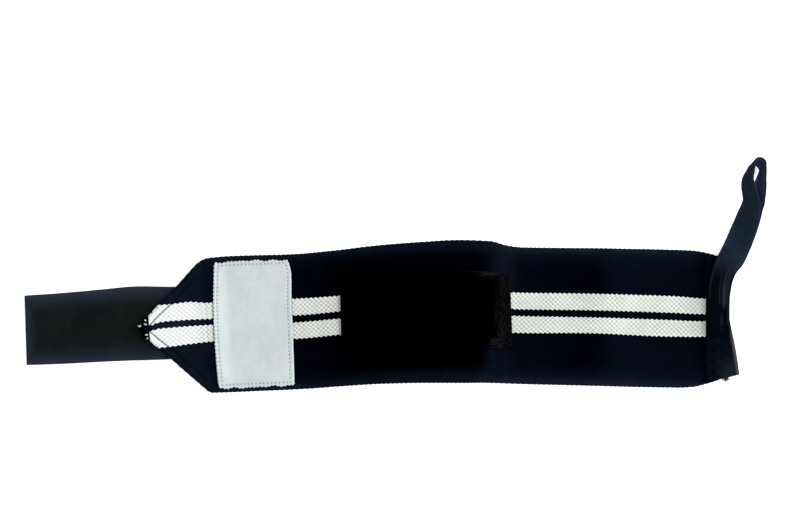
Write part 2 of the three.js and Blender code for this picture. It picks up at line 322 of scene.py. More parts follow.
class NodeBook:
    """Shader node groups that more than one finish uses, each built once."""

    def __init__(self) -> None:
        """Build the weave group and the tone group."""
        self.weave = self._weave_group()
        self.tone = self._tone_group()

    @staticmethod
    def _new(name: str, inputs: list[tuple[str, str]], outputs: list[tuple[str, str]]) -> bpy.types.NodeTree:
        """Start a group with named sockets.

        Args:
            name: The group's name.
            inputs: Name and socket type of each input.
            outputs: Name and socket type of each output.

        Returns:
            The group, with its input and output nodes named In and Out.
        """
        tree = bpy.data.node_groups.new(name, "ShaderNodeTree")
        for label, kind in inputs:
            tree.interface.new_socket(label, in_out="INPUT", socket_type=kind)
        for label, kind in outputs:
            tree.interface.new_socket(label, in_out="OUTPUT", socket_type=kind)
        tree.nodes.new("NodeGroupInput").name = "In"
        tree.nodes.new("NodeGroupOutput").name = "Out"
        return tree

    def _weave_group(self) -> bpy.types.NodeTree:
        """Over-and-under thread relief: the product of a sine along each of two directions, from 0 to 1.

        Returns:
            The group.
        """
        number, vector = "NodeSocketFloat", "NodeSocketVector"
        tree = self._new(
            "thread_weave", [("Vector", vector), ("Along", number), ("Across", number)], [("Height", number)]
        )
        book = Wiring(tree)
        source = tree.nodes["In"].outputs
        split = tree.nodes.new("ShaderNodeSeparateXYZ")
        book.link(source["Vector"], split.inputs[0])
        along = book.math("SINE", book.math("MULTIPLY", split.outputs[0], source["Along"]))
        across = book.math("SINE", book.math("MULTIPLY", split.outputs[1], source["Across"]))
        height = book.math("MULTIPLY_ADD", book.math("MULTIPLY", along, across), 0.5, 0.5)
        book.link(height, tree.nodes["Out"].inputs["Height"])
        return tree

    def _tone_group(self) -> bpy.types.NodeTree:
        """Uneven tone: slow blotches and a finer mottle, mixed between two colours, with some pale lint.

        Returns:
            The group.
        """
        colour, number = "NodeSocketColor", "NodeSocketFloat"
        tree = self._new(
            "cloth_tone", [("Deep", colour), ("Pale", colour), ("Lint", number)],
            [("Color", colour), ("Mottle", number)],
        )
        book = Wiring(tree)
        source = tree.nodes["In"].outputs
        place = tree.nodes.new("ShaderNodeTexCoord").outputs["Object"]
        blotch = book.noise(place, *Noise.BLOTCH.value)
        mottle = book.noise(place, *Noise.MOTTLE.value)
        both = book.math("MULTIPLY_ADD", book.math("SUBTRACT", mottle, 0.5), MOTTLE_SHARE, blotch)
        mixed = book.mix(book.span(both, *TONE_SPAN), source["Deep"], source["Pale"])
        lint = book.span(book.noise(place, *Noise.LINT.value), *LINT_SPAN)
        dusty = book.mix(book.math("MULTIPLY", lint, source["Lint"]), mixed, LINT_COLOUR)
        book.link(dusty, tree.nodes["Out"].inputs["Color"])
        book.link(mottle, tree.nodes["Out"].inputs["Mottle"])
        return tree


class Wiring:
    """Short ways to add nodes to a tree and link them."""

    def __init__(self, tree: bpy.types.NodeTree) -> None:
        """Keep the tree that nodes are added to."""
        self.tree = tree

    def link(self, source: object, target: bpy.types.NodeSocket) -> None:
        """Feed a socket.

        Args:
            source: Another socket, or the value to set.
            target: The socket to feed.
        """
        if isinstance(source, bpy.types.NodeSocket):
            self.tree.links.new(source, target)
        else:
            target.default_value = source

    def math(self, operation: str, *values: object) -> bpy.types.NodeSocket:
        """Add a Math node.

        Args:
            operation: What the node does.
            values: Sockets or numbers for its inputs.

        Returns:
            Its result.
        """
        node = self.tree.nodes.new("ShaderNodeMath")
        node.operation = operation
        for value, socket in zip(values, node.inputs):
            self.link(value, socket)
        return node.outputs[0]

    def noise(self, place: bpy.types.NodeSocket, scale: float, detail: float) -> bpy.types.NodeSocket:
        """Add a noise texture.

        Args:
            place: Where it is read.
            scale: Cells for each metre.
            detail: Number of finer layers.

        Returns:
            Its value.
        """
        node = self.tree.nodes.new("ShaderNodeTexNoise")
        node.inputs["Scale"].default_value = scale
        node.inputs["Detail"].default_value = detail
        self.link(place, node.inputs["Vector"])
        return node.outputs[0]

    def span(self, value: object, low: float, high: float) -> bpy.types.NodeSocket:
        """Map a value smoothly to 0 at a low level and 1 at a high one, and hold it there beyond them.

        Args:
            value: Socket or number to map.
            low: The low level.
            high: The high level.

        Returns:
            The mapped value.
        """
        node = self.tree.nodes.new("ShaderNodeMapRange")
        node.interpolation_type = "SMOOTHSTEP"
        self.link(value, node.inputs["Value"])
        node.inputs["From Min"].default_value = low
        node.inputs["From Max"].default_value = high
        return node.outputs[0]

    def mix(self, share: object, first: object, second: object) -> bpy.types.NodeSocket:
        """Mix two colours.

        Args:
            share: Share of the second one.
            first: Socket or colour.
            second: Socket or colour.

        Returns:
            The mixed colour.
        """
        node = self.tree.nodes.new("ShaderNodeMix")
        node.data_type = "RGBA"
        for value, socket in zip((share, first, second), MIX_INPUTS):
            self.link(value, node.inputs[socket])
        return node.outputs[MIX_OUTPUT]

    def mark(self, name: str) -> bpy.types.NodeSocket:
        """Read a value that the mesh stores for each vertex.

        Args:
            name: The value's name.

        Returns:
            The value.
        """
        node = self.tree.nodes.new("ShaderNodeAttribute")
        node.attribute_name = name
        return node.outputs["Fac"]

    def group(self, tree: bpy.types.NodeTree, **values: object) -> bpy.types.NodeOutputs:
        """Place a node group.

        Args:
            tree: The group.
            values: Sockets or values for its inputs, by name.

        Returns:
            Its outputs.
        """
        node = self.tree.nodes.new("ShaderNodeGroup")
        node.node_tree = tree
        for label, value in values.items():
            self.link(value, node.inputs[label])
        return node.outputs


def new_material(name: str) -> tuple[bpy.types.Material, Wiring, bpy.types.NodeInputs]:
    """Start a material with nodes.

    Args:
        name: The material's name.

    Returns:
        The material, the wiring of its tree and the inputs of its Principled shader.
    """
    made = bpy.data.materials.new(name)
    made.use_nodes = True
    return made, Wiring(made.node_tree), made.node_tree.nodes["Principled BSDF"].inputs


Colour = tuple[float, float, float]


@dataclass(frozen=True)
class ClothFinish:
    """A cloth: two tones, the marks that change them, a thread relief and a soft sheen."""

    name: str
    deep: Colour
    pale: Colour
    roughness: float = 0.9
    sheen: float = 0.0
    specular: float = 0.0
    along_mm: float = 0.8
    across_mm: float = 0.8
    relief_mm: float = 0.12
    lint: float = 0.3
    marks: tuple[tuple[str, Colour], ...] = ()
    roughness_swing: float = 0.12
    sheen_roughness: float = 0.45
    sheen_tint: Colour = (0.75, 0.85, 1.0)
    bump_strength: float = 0.8

    def material(self, book: NodeBook) -> bpy.types.Material:
        """Make the material.

        Args:
            book: The shared node groups.

        Returns:
            A Principled material with uneven tone, marks from the mesh and thread bump.
        """
        made, wires, shader = new_material(self.name)
        tone = wires.group(book.tone, Deep=(*self.deep, 1), Pale=(*self.pale, 1), Lint=self.lint)
        colour = tone["Color"]
        for mark, marked in self.marks:
            colour = wires.mix(wires.mark(mark), colour, (*marked, 1))
        wires.link(colour, shader["Base Color"])
        smooth = self.roughness - self.roughness_swing / 2
        rough = wires.math("MULTIPLY_ADD", tone["Mottle"], self.roughness_swing, smooth)
        wires.link(rough, shader["Roughness"])
        shader["Specular IOR Level"].default_value = self.specular
        shader["Sheen Weight"].default_value = self.sheen
        shader["Sheen Roughness"].default_value = self.sheen_roughness
        shader["Sheen Tint"].default_value = (*self.sheen_tint, 1)
        cloth = made.node_tree.nodes.new("ShaderNodeUVMap")
        cloth.uv_map = "cloth"
        turn = 2 * np.pi
        height = wires.group(
            book.weave, Vector=cloth.outputs[0], Along=turn / self.along_mm, Across=turn / self.across_mm
        )["Height"]
        bump = made.node_tree.nodes.new("ShaderNodeBump")
        bump.inputs["Strength"].default_value = self.bump_strength
        bump.inputs["Distance"].default_value = self.relief_mm * MM
        wires.link(height, bump.inputs["Height"])
        wires.link(bump.outputs[0], shader["Normal"])
        return made


@dataclass(frozen=True)
class YarnFinish:
    """Loose or sewn thread: two tones shared out thread by thread."""

    name: str
    deep: Colour
    pale: Colour
    roughness: float = 0.85
    sheen: float = 0.0
    specular: float = 0.0
    lint: float = 0.1
    uneven_share: float = 0.3
    roughness_swing: float = 0.15
    roughness_drop: float = 0.08

    def material(self, book: NodeBook) -> bpy.types.Material:
        """Make the material.

        Args:
            book: The shared node groups.

        Returns:
            A Principled material that takes each thread's tone from its shade mark.
        """
        made, wires, shader = new_material(self.name)
        thread = wires.mix(wires.mark("shade"), (*self.deep, 1), (*self.pale, 1))
        tone = wires.group(book.tone, Deep=thread, Pale=(*self.pale, 1), Lint=self.lint)
        wires.link(wires.mix(self.uneven_share, thread, tone["Color"]), shader["Base Color"])
        smooth = self.roughness - self.roughness_drop
        rough = wires.math("MULTIPLY_ADD", tone["Mottle"], self.roughness_swing, smooth)
        wires.link(rough, shader["Roughness"])
        shader["Specular IOR Level"].default_value = self.specular
        shader["Sheen Weight"].default_value = self.sheen
        return made


class Slot(Enum):
    """The record's material slots."""

    BAND = "navy_elastic"
    HOOK = "hook_tape"
    LOOP = "loop_tape"
    LABEL = "satin_label"
    BINDING = "navy_tape"
    THUMB = "thumb_tape"


@dataclass
class Workshop:
    """What every sub-assembly shares: the node groups, the random draws and the finishes made so far."""

    book: NodeBook
    draws: np.random.Generator
    made: dict[str, bpy.types.Material] = field(default_factory=dict)

    def dress(
        self, piece: bpy.types.Object, finish: ClothFinish | YarnFinish, slot: Slot, node: str | None = None
    ) -> bpy.types.Object:
        """Give a piece its finish and body, and hide the CAD node that it stands for.

        Args:
            piece: The piece to dress.
            finish: Its finish, made into a material the first time.
            slot: The record's material slot; not used.
            node: The CAD node that the piece replaces, if any.

        Returns:
            The same piece.
        """
        if finish.name not in self.made:
            self.made[finish.name] = finish.material(self.book)
        piece.data.materials.append(self.made[finish.name])
        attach(piece, BODY)
        if node:
            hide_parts(node)
        LOG.info("%s: %d faces", piece.name, len(piece.data.polygons))
        return piece


@dataclass(frozen=True)
class SlabGrid:
    """How many columns a flat body's ring has over it, under it and round each edge."""

    over: int
    under: int
    edge: int = 8

    def ring(self, low: Array, high: Array, radius: Array) -> tuple[Array, Array]:
        """Places round a flat section with rounded edges, anticlockwise about the way the body runs.

        Args:
            low: Lower edge across the body at each station.
            high: Higher edge at each station.
            radius: Depth of the rounded edges at each station.

        Returns:
            The offset across the body, and the side: -1 on the lower face, 1 on the upper one and the
            sine of the turn round an edge between them.
        """
        low, high, radius = (np.asarray(value, float)[:, None] for value in (low, high, radius))
        turn = np.linspace(-np.pi / 2, np.pi / 2, self.edge + 1)[None, 1:-1]
        under = np.linspace(0, 1, self.under)[None]
        over = np.linspace(1, 0, self.over)[None]
        inner_low, inner_high = low + radius, high - radius
        across = [
            inner_low + (inner_high - inner_low) * under,
            inner_high + radius * np.cos(turn),
            inner_low + (inner_high - inner_low) * over,
            inner_low - radius * np.cos(turn),
        ]
        side = [-np.ones_like(under), np.sin(turn), np.ones_like(over), -np.sin(turn)]
        return np.concatenate(across, 1), np.concatenate(side, 1)


@dataclass(frozen=True)
class BandForm:
    """Shape of the elastic band: its plan, its lie over the floor and its woven relief."""

    thickness: float = 1.6
    layer_gap: float = 0.25
    tip_x: float = -142.7
    shoulder_x: float = -105.4
    raw_end_x: float = 181.5
    half: float = 37.5
    low_rounding: float = 2.0
    high_rounding: float = 4.5
    low_bulge: float = 0.9
    high_bulge: float = 1.5
    bulge_rise: Ramp = Ramp(0, 4)
    bulge_fall: Ramp = Ramp(20, 10)
    low_spread: float = 0.5
    spread_rise: Ramp = Ramp(14, 22)
    flat_share: float = 0.6
    heading_reach: float = 12.0
    weave_pitch: float = 2.63
    fold_weave_pitch: float = 2.91
    weave_row: float = 1.27
    rows: Table = Table(
        "x y high low lift edge",
        [
            (-142.7, -30.5, 37.1, 37.6, 3.7, 2.05),
            (-105.4, -27.9, 37.1, 37.6, 3.7, 2.05),
            (-91, -27, 37.5, 38, 0, 0),
            (-53.2, -25.5, 37.2, 37.8, 0, 0),
            (-31, -23.6, 37.3, 38.1, 2, 0.6),
            (-8.9, -21.7, 38.1, 38.7, 3, 1),
            (13.3, -20.6, 38.8, 39.3, 3, 1),
            (35.5, -20, 39.4, 39.9, 3, 1),
            (49.3, -20.2, 39.1, 39.7, 2.8, 0.9),
            (57.6, -21.4, 38, 38.7, 1.2, 0.4),
            (67, -22.2, 37.6, 38.2, 0, 0),
            (94, -22.7, 37.7, 38.4, 0, 0),
            (114.7, -23.1, 37.9, 38.5, 1.4, 1),
            (136, -23.5, 37.9, 38.7, 0, 0),
            (156, -23.8, 37.7, 38.7, 0, 0),
            (163.5, -23.9, 37.5, 38.3, 0.4, 0.4),
            (171.7, -23.7, 36.1, 36.6, 1.25, 1.25),
            (181.5, -23.6, 33.3, 33.3, 1.25, 1.25),
        ],
    )

    def half_width(self, x: Array, side: int) -> Array:
        """Half width on one side: the table's, cut back at 45 degrees from the tip, with a rounded corner.

        Args:
            x: Places along the band.
            side: 1 for the higher side and -1 for the lower one.

        Returns:
            The half width at each place.
        """
        upper = side > 0
        reach = self.high_rounding if upper else self.low_rounding
        bulge = self.high_bulge if upper else self.low_bulge
        spread = 0.0 if upper else self.low_spread
        past = x - self.tip_x
        straight = self.rows.read("high" if upper else "low", x)
        bulge = bulge * self.bulge_rise(past) * self.bulge_fall(past)
        folded = past + bulge + spread * self.spread_rise(past)
        overlap = np.maximum(reach - np.abs(straight - folded), 0)
        return np.minimum(straight, folded) - overlap**2 / (4 * reach)

    def underside(self, x: Array, offset: Array) -> Array:
        """Height of the lower face: level over the middle, easing to the selvedge's height beyond it."""
        lift, edge = self.rows.read("lift", x), self.rows.read("edge", x)
        return lift + (edge - lift) * ease(np.abs(offset) / self.half, self.flat_share, 1)

    def points(self, x: Array, offset: Array, height: Array) -> Array:
        """Points at places along the band, offsets across it and heights over its underside."""
        return beside_line(self.rows, self.heading_reach, x, offset, self.underside(x, offset) + height)

    def weave_run(self, x: Array) -> Array:
        """Distance along the cloth as if its weave had one pitch all the way."""
        past = x - self.shoulder_x
        return np.where(past < 0, past * self.weave_pitch / self.fold_weave_pitch, past)

    def lattice(self, x: Array, offset: Array) -> Array:
        """Staggered diamonds from 0 to 1: a cosine along the cloth times a cosine across it."""
        return 0.5 + 0.5 * wave(self.weave_run(x), self.weave_pitch) * wave(offset, 2 * self.weave_row)

    def twill(self, x: Array, offset: Array) -> Array:
        """Diamonds parted by grooves along both diagonals: the product of a raised cosine along each."""
        along, across = self.weave_run(x) / self.weave_pitch, offset / (2 * self.weave_row)
        return (0.5 + 0.5 * wave(along + across, 1)) * (0.5 + 0.5 * wave(along - across, 1))

    def edge_distance(self, x: Array, offset: Array) -> Array:
        """How far inside the band's edge a place is, measured across the band."""
        return np.where(offset > 0, self.half_width(x, 1), self.half_width(x, -1)) - np.abs(offset)


@dataclass(frozen=True)
class BandPaintedShading:
    """Where the band's cloth is paler or blacker, as the shares that its navy finish reads: painted light,
    painted shade and a random mottle.
    """

    form: BandForm
    # Painted sheen towards each selvedge, lighter cloth between the stripes on the V, and painted highlights
    # on the slopes beside the patch.
    wide_share: float = 0.35
    wide_edge: Ramp = Ramp(0.68, 1)
    near_edge: Ramp = Ramp(0.88, 1)
    mottle: Swells = (Swell(0.16, 17, 1.3), Swell(0.1, 6, 2.9))
    gap_light: float = 0.4
    gap_middle: float = 1.9
    gap_width: float = 2.0
    gap_start: Ramp = Ramp(-137, -130)
    gap_end: Ramp = Ramp(-104, -112)
    slope_lean: float = 0.07
    lean_start: Ramp = Ramp(20, 40)
    lean_end: Ramp = Ramp(100, 80)
    slope_dim: float = 0.45
    dim_start: Ramp = Ramp(44, 54)
    dim_end: Ramp = Ramp(76, 66)
    dim_side: Ramp = Ramp(0, -9)
    # Painted shade round the patch: where it starts and ends, and how far it reaches on each side.
    black_start: Ramp = Ramp(-42, -28)
    black_end: Ramp = Ramp(56, 46)
    black_low: float = 0.97
    black_low_edge: Ramp = Ramp(-33, -29)
    black_high: float = 0.7
    black_high_edge: Ramp = Ramp(34.5, 29)
    rows: Table = Table(
        "x middle selvedge",
        [
            (-142.7, 0, 0.5),
            (-139, 0.04, 0.5),
            (-135, 0.55, 0.55),
            (-120, 0.6, 0.6),
            (-108, 0.5, 0.6),
            (-102, 0.26, 0.6),
            (-95, 0.16, 0.8),
            (-57, 0.03, 0.6),
            (-30, 0, 0.45),
            (44, 0, 0.4),
            (54, 0.42, 0.75),
            (60, 0.42, 0.85),
            (68, 0.13, 0.9),
            (80, 0.06, 0.86),
            (100, 0.02, 0.86),
            (109, 0.01, 0.86),
            (120, 0.16, 0.86),
            (128, 0.19, 0.86),
            (150, 0.16, 0.8),
            (163, 0.13, 0.7),
            (172, 0.04, 0.4),
        ],
    )

    def light(self, x: Array, offset: Array) -> Array:
        """Share of painted light: the middle's level, rising to the selvedge's near each edge as a painted
        sheen.

        The painted highlight on the slope beside the patch leans as the patch's end does and is dimmer on the
        low side, and the cloth between the stripes is lighter on the V. A random mottle scales the level.

        Args:
            x: Places along the band.
            offset: Offsets across it.

        Returns:
            The share at each place.
        """
        lean = self.slope_lean * offset * self.lean_start(x) * self.lean_end(x)
        dim = self.slope_dim * self.dim_start(x) * self.dim_end(x) * self.dim_side(offset)
        middle, selvedge = self.rows.read("middle", x + lean) * (1 - dim), self.rows.read("selvedge", x)
        reach = np.abs(offset) / self.form.half
        share = self.wide_share * self.wide_edge(reach) + (1 - self.wide_share) * self.near_edge(reach)
        gap = self.gap_light * ridge(offset - self.gap_middle, self.gap_width)
        gap = gap * self.gap_start(x) * self.gap_end(x)
        level = (middle + (selvedge - middle) * share) * (1 + unevenness(self.mottle, x, offset))
        return np.clip(level + gap, 0, 1)

    def painted_shade(self, x: Array, offset: Array) -> Array:
        """Share of painted shade, the blackest tone: over the middle of the band's length, round the patch.

        Args:
            x: Places along the band.
            offset: Offsets across it.

        Returns:
            The share at each place.
        """
        low = self.black_low * self.black_low_edge(offset)
        high = self.black_high * self.black_high_edge(offset)
        return self.black_start(x) * self.black_end(x) * np.where(offset < 0, low, high)


@dataclass
class WrapBand:
    """The elastic band: its body with the folded V, the V's seams and frayed tip, and the stripes."""

    shop: Workshop
    form: BandForm
    grid: SlabGrid = SlabGrid(over=136, under=26, edge=10)
    step: float = 0.68
    tip_blunt: float = 0.7
    selvedge_round: float = 0.9
    selvedge_tooth: float = 0.14
    fold_round: float = 2.6
    fold_rounding: Ramp = Ramp(4, -6)
    round_share: float = 0.45
    relief: float = 0.16
    flap_drop: float = 1.85
    flap_edge: Ramp = Ramp(0.7, 0)
    fold_fade: Ramp = Ramp(12, 0)
    puff: float = 0.25
    puff_place: float = 0.45
    puff_width: float = 1.3
    seam_inset: float = 5.9
    seam_depth: float = 0.55
    seam_width: float = 0.9
    seam_start: float = 0.6
    seam_end: float = 1.5
    seam_places: int = 40
    stitches: int = 17
    stitch_cover: float = 0.94
    stitch_rise: float = 0.3
    stitch_lift: float = 0.05
    stitch_radius: float = 0.14
    crease_place: float = 0.4
    crease_depth: float = 0.3
    crease_width: float = 0.8
    yarn_points: int = 9
    yarn_sides: int = 8
    yarn_bend: float = 0.8
    yarn_lift: float = 0.1
    yarn_droop: float = 1.6
    yarn_radius: float = 0.08
    yarn_swell: float = 0.21
    tip_yarns: Table = Table(
        "x y length heading",
        [
            (-141.9, -28.4, 2, 0.1),
            (-138.8, -25.2, 1.3, -0.6),
            (-138.7, -27.4, 1.7, -0.2),
            (-138, -33.2, 1.8, 0.2),
            (-137.6, -35.1, 1, 0.9),
        ],
    )

    # Its marks paint light and highlights on the navy, and shade round the patch.
    navy: ClothFinish = ClothFinish(
        "navy_elastic", (0.0001, 0.0005, 0.0017), (0.00025, 0.0009, 0.0026), sheen=0.001, along_mm=2.63,
        across_mm=2.54, relief_mm=0.2, lint=0.01,
        marks=(("light", (0.0062, 0.0105, 0.019)), ("deep", (0.00003, 0.0001, 0.0004))),
    )
    thread: YarnFinish = YarnFinish("navy_thread", (0.0028, 0.0055, 0.0105), (0.0042, 0.008, 0.0145))
    fray: YarnFinish = YarnFinish("frayed_white", (0.32, 0.34, 0.35), (0.75, 0.77, 0.77))

    def top(self, x: Array, offset: Array) -> Array:
        """Height of the upper face over the underside, with the seam's groove and the roll along each fold.

        Args:
            x: Places along the band.
            offset: Offsets across it.

        Returns:
            The thickness plus a ridge outside the seam, less a groove along it and a crease at the shoulder.
        """
        distance, past = self.form.edge_distance(x, offset), x - self.form.shoulder_x
        roll = self.puff * ridge(distance - self.seam_inset * self.puff_place, self.puff_width)
        groove = self.seam_depth * ridge(distance - self.seam_inset, self.seam_width)
        crease = self.crease_depth * ridge(past - self.crease_place, self.crease_width)
        return self.form.thickness + self.fold_fade(past) * (roll - groove) - crease

    def fold_fall(self, x: Array, offset: Array) -> Array:
        """Drop of the upper face as it turns down round the V's folds, along a quarter of an ellipse."""
        inside = np.clip(self.form.edge_distance(x, offset) / self.fold_round, 0, 1)
        return (self.form.thickness + self.flap_drop) / 2 * (1 - np.sqrt(1 - (1 - inside) ** 2))

    def make_body(self) -> bpy.types.Object:
        """Rings across the band at each station: a flat section with rounded edges and woven relief.

        Returns:
            The body. The folded corners lie one layer below the band, so its lower face drops there.
        """
        form, tone = self.form, BandPaintedShading(self.form)
        x = np.linspace(
            form.tip_x + self.tip_blunt, form.raw_end_x, round((form.raw_end_x - form.tip_x) / self.step)
        )
        tooth = self.selvedge_tooth * wave(form.weave_run(x), form.weave_pitch)
        low, high = -form.half_width(x, -1) + tooth, form.half_width(x, 1) + tooth
        past = x - form.shoulder_x
        wide = self.selvedge_round + (self.fold_round - self.selvedge_round) * self.fold_rounding(past)
        offset, side = self.grid.ring(low, high, np.minimum(wide, self.round_share * (high - low)))
        x = x[:, None]
        height = between(-self.flap_drop * self.flap_edge(past[:, None]), self.top(x, offset), side)
        height = height + np.maximum(side, 0) * self.relief * (form.lattice(x, offset) - 1)
        cloth = cloth_map(form.weave_run(x) + form.weave_pitch / 4, offset + form.weave_row / 2)
        # Painted light, and painted shade round the patch.
        marks = {"light": tone.light(x, offset), "deep": tone.painted_shade(x, offset)}
        return loft("band_body", form.points(x, offset, height), marks, cloth)

    def make_seams(self) -> list[bpy.types.Object]:
        """Seams inside the two folds of the V: short raised threads along a line set in from each fold.

        Returns:
            The higher seam and the lower one.
        """
        form, seams = self.form, []
        start, end = form.tip_x + self.seam_inset + self.seam_start, form.shoulder_x - self.seam_end
        line, share = np.linspace(start, end, self.seam_places), np.linspace(0, 1, self.seam_places)
        at, turn = stitch_run(self.stitches, self.stitch_cover)
        x = np.interp(at / self.stitches, share, line)
        for name, side in (("seam_high", 1), ("seam_low", -1)):
            inset = side * (form.half_width(line, side) - self.seam_inset)
            offset = np.interp(at / self.stitches, share, inset)
            height = self.top(x, offset) + self.stitch_rise * stitch_arch(turn) + self.stitch_lift
            shade = self.shop.draws.random(self.stitches)
            paths = form.points(x, offset, height)
            seams.append(strands(name, paths, self.stitch_radius, marks={"shade": shade}))
        return seams

    def make_fray(self) -> bpy.types.Object:
        """Loose white yarn ends at the V's tip: short thick curls that taper to both ends.

        Returns:
            One object with a curl for each row of the yarns' table.
        """
        rows = {name: values[:, None] for name, values in self.tip_yarns.columns.items()}
        t = np.linspace(-0.5, 0.5, self.yarn_points)[None]
        bend = rows["heading"] + self.yarn_bend * t
        x = rows["x"] + rows["length"] * t * np.cos(bend)
        y = rows["y"] + rows["length"] * t * np.sin(bend)
        rest = self.form.rows.columns["lift"][0] + self.form.thickness + self.yarn_lift
        paths = np.stack([x, y, np.broadcast_to(rest - self.yarn_droop * t**2, x.shape)], -1)
        radius = self.yarn_radius + self.yarn_swell * rows["length"] * np.sqrt(1 - (2 * t) ** 2)
        shade = self.shop.draws.random(len(paths))
        return strands("tip_fray", paths, radius, self.yarn_sides, {"shade": shade})

    def build(self) -> None:
        """Make and dress every piece of the band."""
        body = self.shop.dress(self.make_body(), self.navy, Slot.BAND, "wrap_band")
        extras = WhiteStripes(self).build()
        for seam in self.make_seams():
            extras.append(self.shop.dress(seam, self.thread, Slot.BAND))
        extras.append(self.shop.dress(self.make_fray(), self.fray, Slot.BAND))


@dataclass
class WhiteStripes:
    """The two white stripes woven into the band, in the three stretches of them that show."""

    band: WrapBand
    grid: SlabGrid = SlabGrid(over=46, under=12, edge=8)
    step: float = 0.24
    lift: float = 0.14
    sink: float = 0.35
    relief: float = 0.38
    relief_level: float = 0.75
    edge_relief: float = 0.4
    edge_width: float = 0.8
    edge_round: float = 0.5
    round_share: float = 0.3
    scallop: float = 0.28
    margin: float = 0.15
    # Painted shade in the weave's hollows and along its diagonal grooves, with less of it on the fold.
    dot_tone: float = 0.13
    dot_range: Ramp = Ramp(0.3, 0.03)
    groove_tone: float = 0.21
    groove_range: Ramp = Ramp(0.22, 0)
    fold_range: Ramp = Ramp(4, -8)
    fold_shade_cut: float = 0.6
    end_bright: float = 0.8
    end_range: Ramp = Ramp(163, 172)
    stretches: tuple[tuple[str, float, float], ...] = (
        ("fold", -136.5, -98.6), ("middle", -59, -29.5), ("end", 61.5, 173),
    )
    rows: Table = Table(
        "x high_outer high_inner low_inner low_outer",
        [
            (-142.7, 13, 1.8, -1.2, -10.8),
            (-136.3, 13, 2, -1.1, -10.8),
            (-130.7, 12.9, 3.4, -0.1, -10.6),
            (-125.2, 12.9, 3.7, 0, -10.4),
            (-114.1, 13.5, 3.7, 0.1, -9.7),
            (-103, 12.3, 3.4, 0, -9.2),
            (-54.8, 12.4, 3.2, -0.7, -9.7),
            (-32.1, 12, 3.4, -0.6, -9.4),
            (65.9, 12.3, 3.2, -0.6, -9.9),
            (107.5, 12.5, 3.4, -0.6, -9.3),
            (151.8, 12, 2.8, -1.3, -10.4),
            (173, 10.4, 1.9, -2.1, -10.4),
        ],
    )

    # Its second mark paints shade into the weave's hollows and grooves.
    white: ClothFinish = ClothFinish(
        "white_yarn", (0.57, 0.6, 0.55), (0.64, 0.665, 0.63), roughness=0.8, along_mm=0.33, across_mm=1.1,
        relief_mm=0.03, lint=0, marks=(("bright", (0.76, 0.78, 0.77)), ("painted_hollow_shade", (0.06, 0.065, 0.075))),
    )

    def make(self, name: str, side: int, start: float, end: float) -> bpy.types.Object:
        """A stretch of stripe: a thin slab on the band's upper face, with yarn bumps and scalloped edges.

        Args:
            name: The piece's name.
            side: 1 for the higher stripe and -1 for the lower one.
            start: Where the stretch starts along the band.
            end: Where it ends.

        Returns:
            The stretch, whose hollows and grooves are marked with painted shade and whose ends are marked as
            bright.
        """
        form = self.band.form
        x = np.linspace(start, end, round((end - start) / self.step))
        lower, upper = ("high_inner", "high_outer") if side > 0 else ("low_outer", "low_inner")
        tooth = self.scallop * wave(form.weave_run(x), form.weave_pitch)
        low = np.maximum(self.rows.read(lower, x) - tooth, self.margin - form.half_width(x, -1))
        high = np.minimum(self.rows.read(upper, x) - tooth * side, form.half_width(x, 1) - self.margin)
        offset, turn = self.grid.ring(low, high, np.minimum(self.edge_round, self.round_share * (high - low)))
        x, low, high = x[:, None], low[:, None], high[:, None]
        edge = np.clip(np.minimum(offset - low, high - offset) / self.edge_width, 0, 1)
        bump = form.lattice(x, offset)
        face = self.band.top(x, offset) - self.band.fold_fall(x, offset)
        rise = self.relief * (bump - self.relief_level) * (self.edge_relief + (1 - self.edge_relief) * edge)
        height = between(face - self.sink, face + self.lift + rise, turn)
        folded = self.fold_range(x - form.shoulder_x)
        # Painted shade in the weave's hollows and grooves.
        groove = self.groove_tone * self.groove_range(form.twill(x, offset))
        painted_hollow_shade = self.dot_tone * self.dot_range(bump) + groove
        bright = np.broadcast_to(folded + self.end_bright * self.end_range(x), offset.shape)
        marks = {"painted_hollow_shade": painted_hollow_shade * edge * (1 - self.fold_shade_cut * folded), "bright": bright}
        return loft(name, form.points(x, offset, height), marks, cloth_map(form.weave_run(x), offset))

    def build(self) -> list[bpy.types.Object]:
        """Make and dress every stretch of both stripes.

        Returns:
            The stretches, the higher one before the lower one at each place.
        """
        pieces = []
        for place, start, end in self.stretches:
            for edge, side in (("high", 1), ("low", -1)):
                stretch = self.make(f"stripe_{place}_{edge}", side, start, end)
                pieces.append(self.band.shop.dress(stretch, self.white, Slot.BAND))
        return pieces


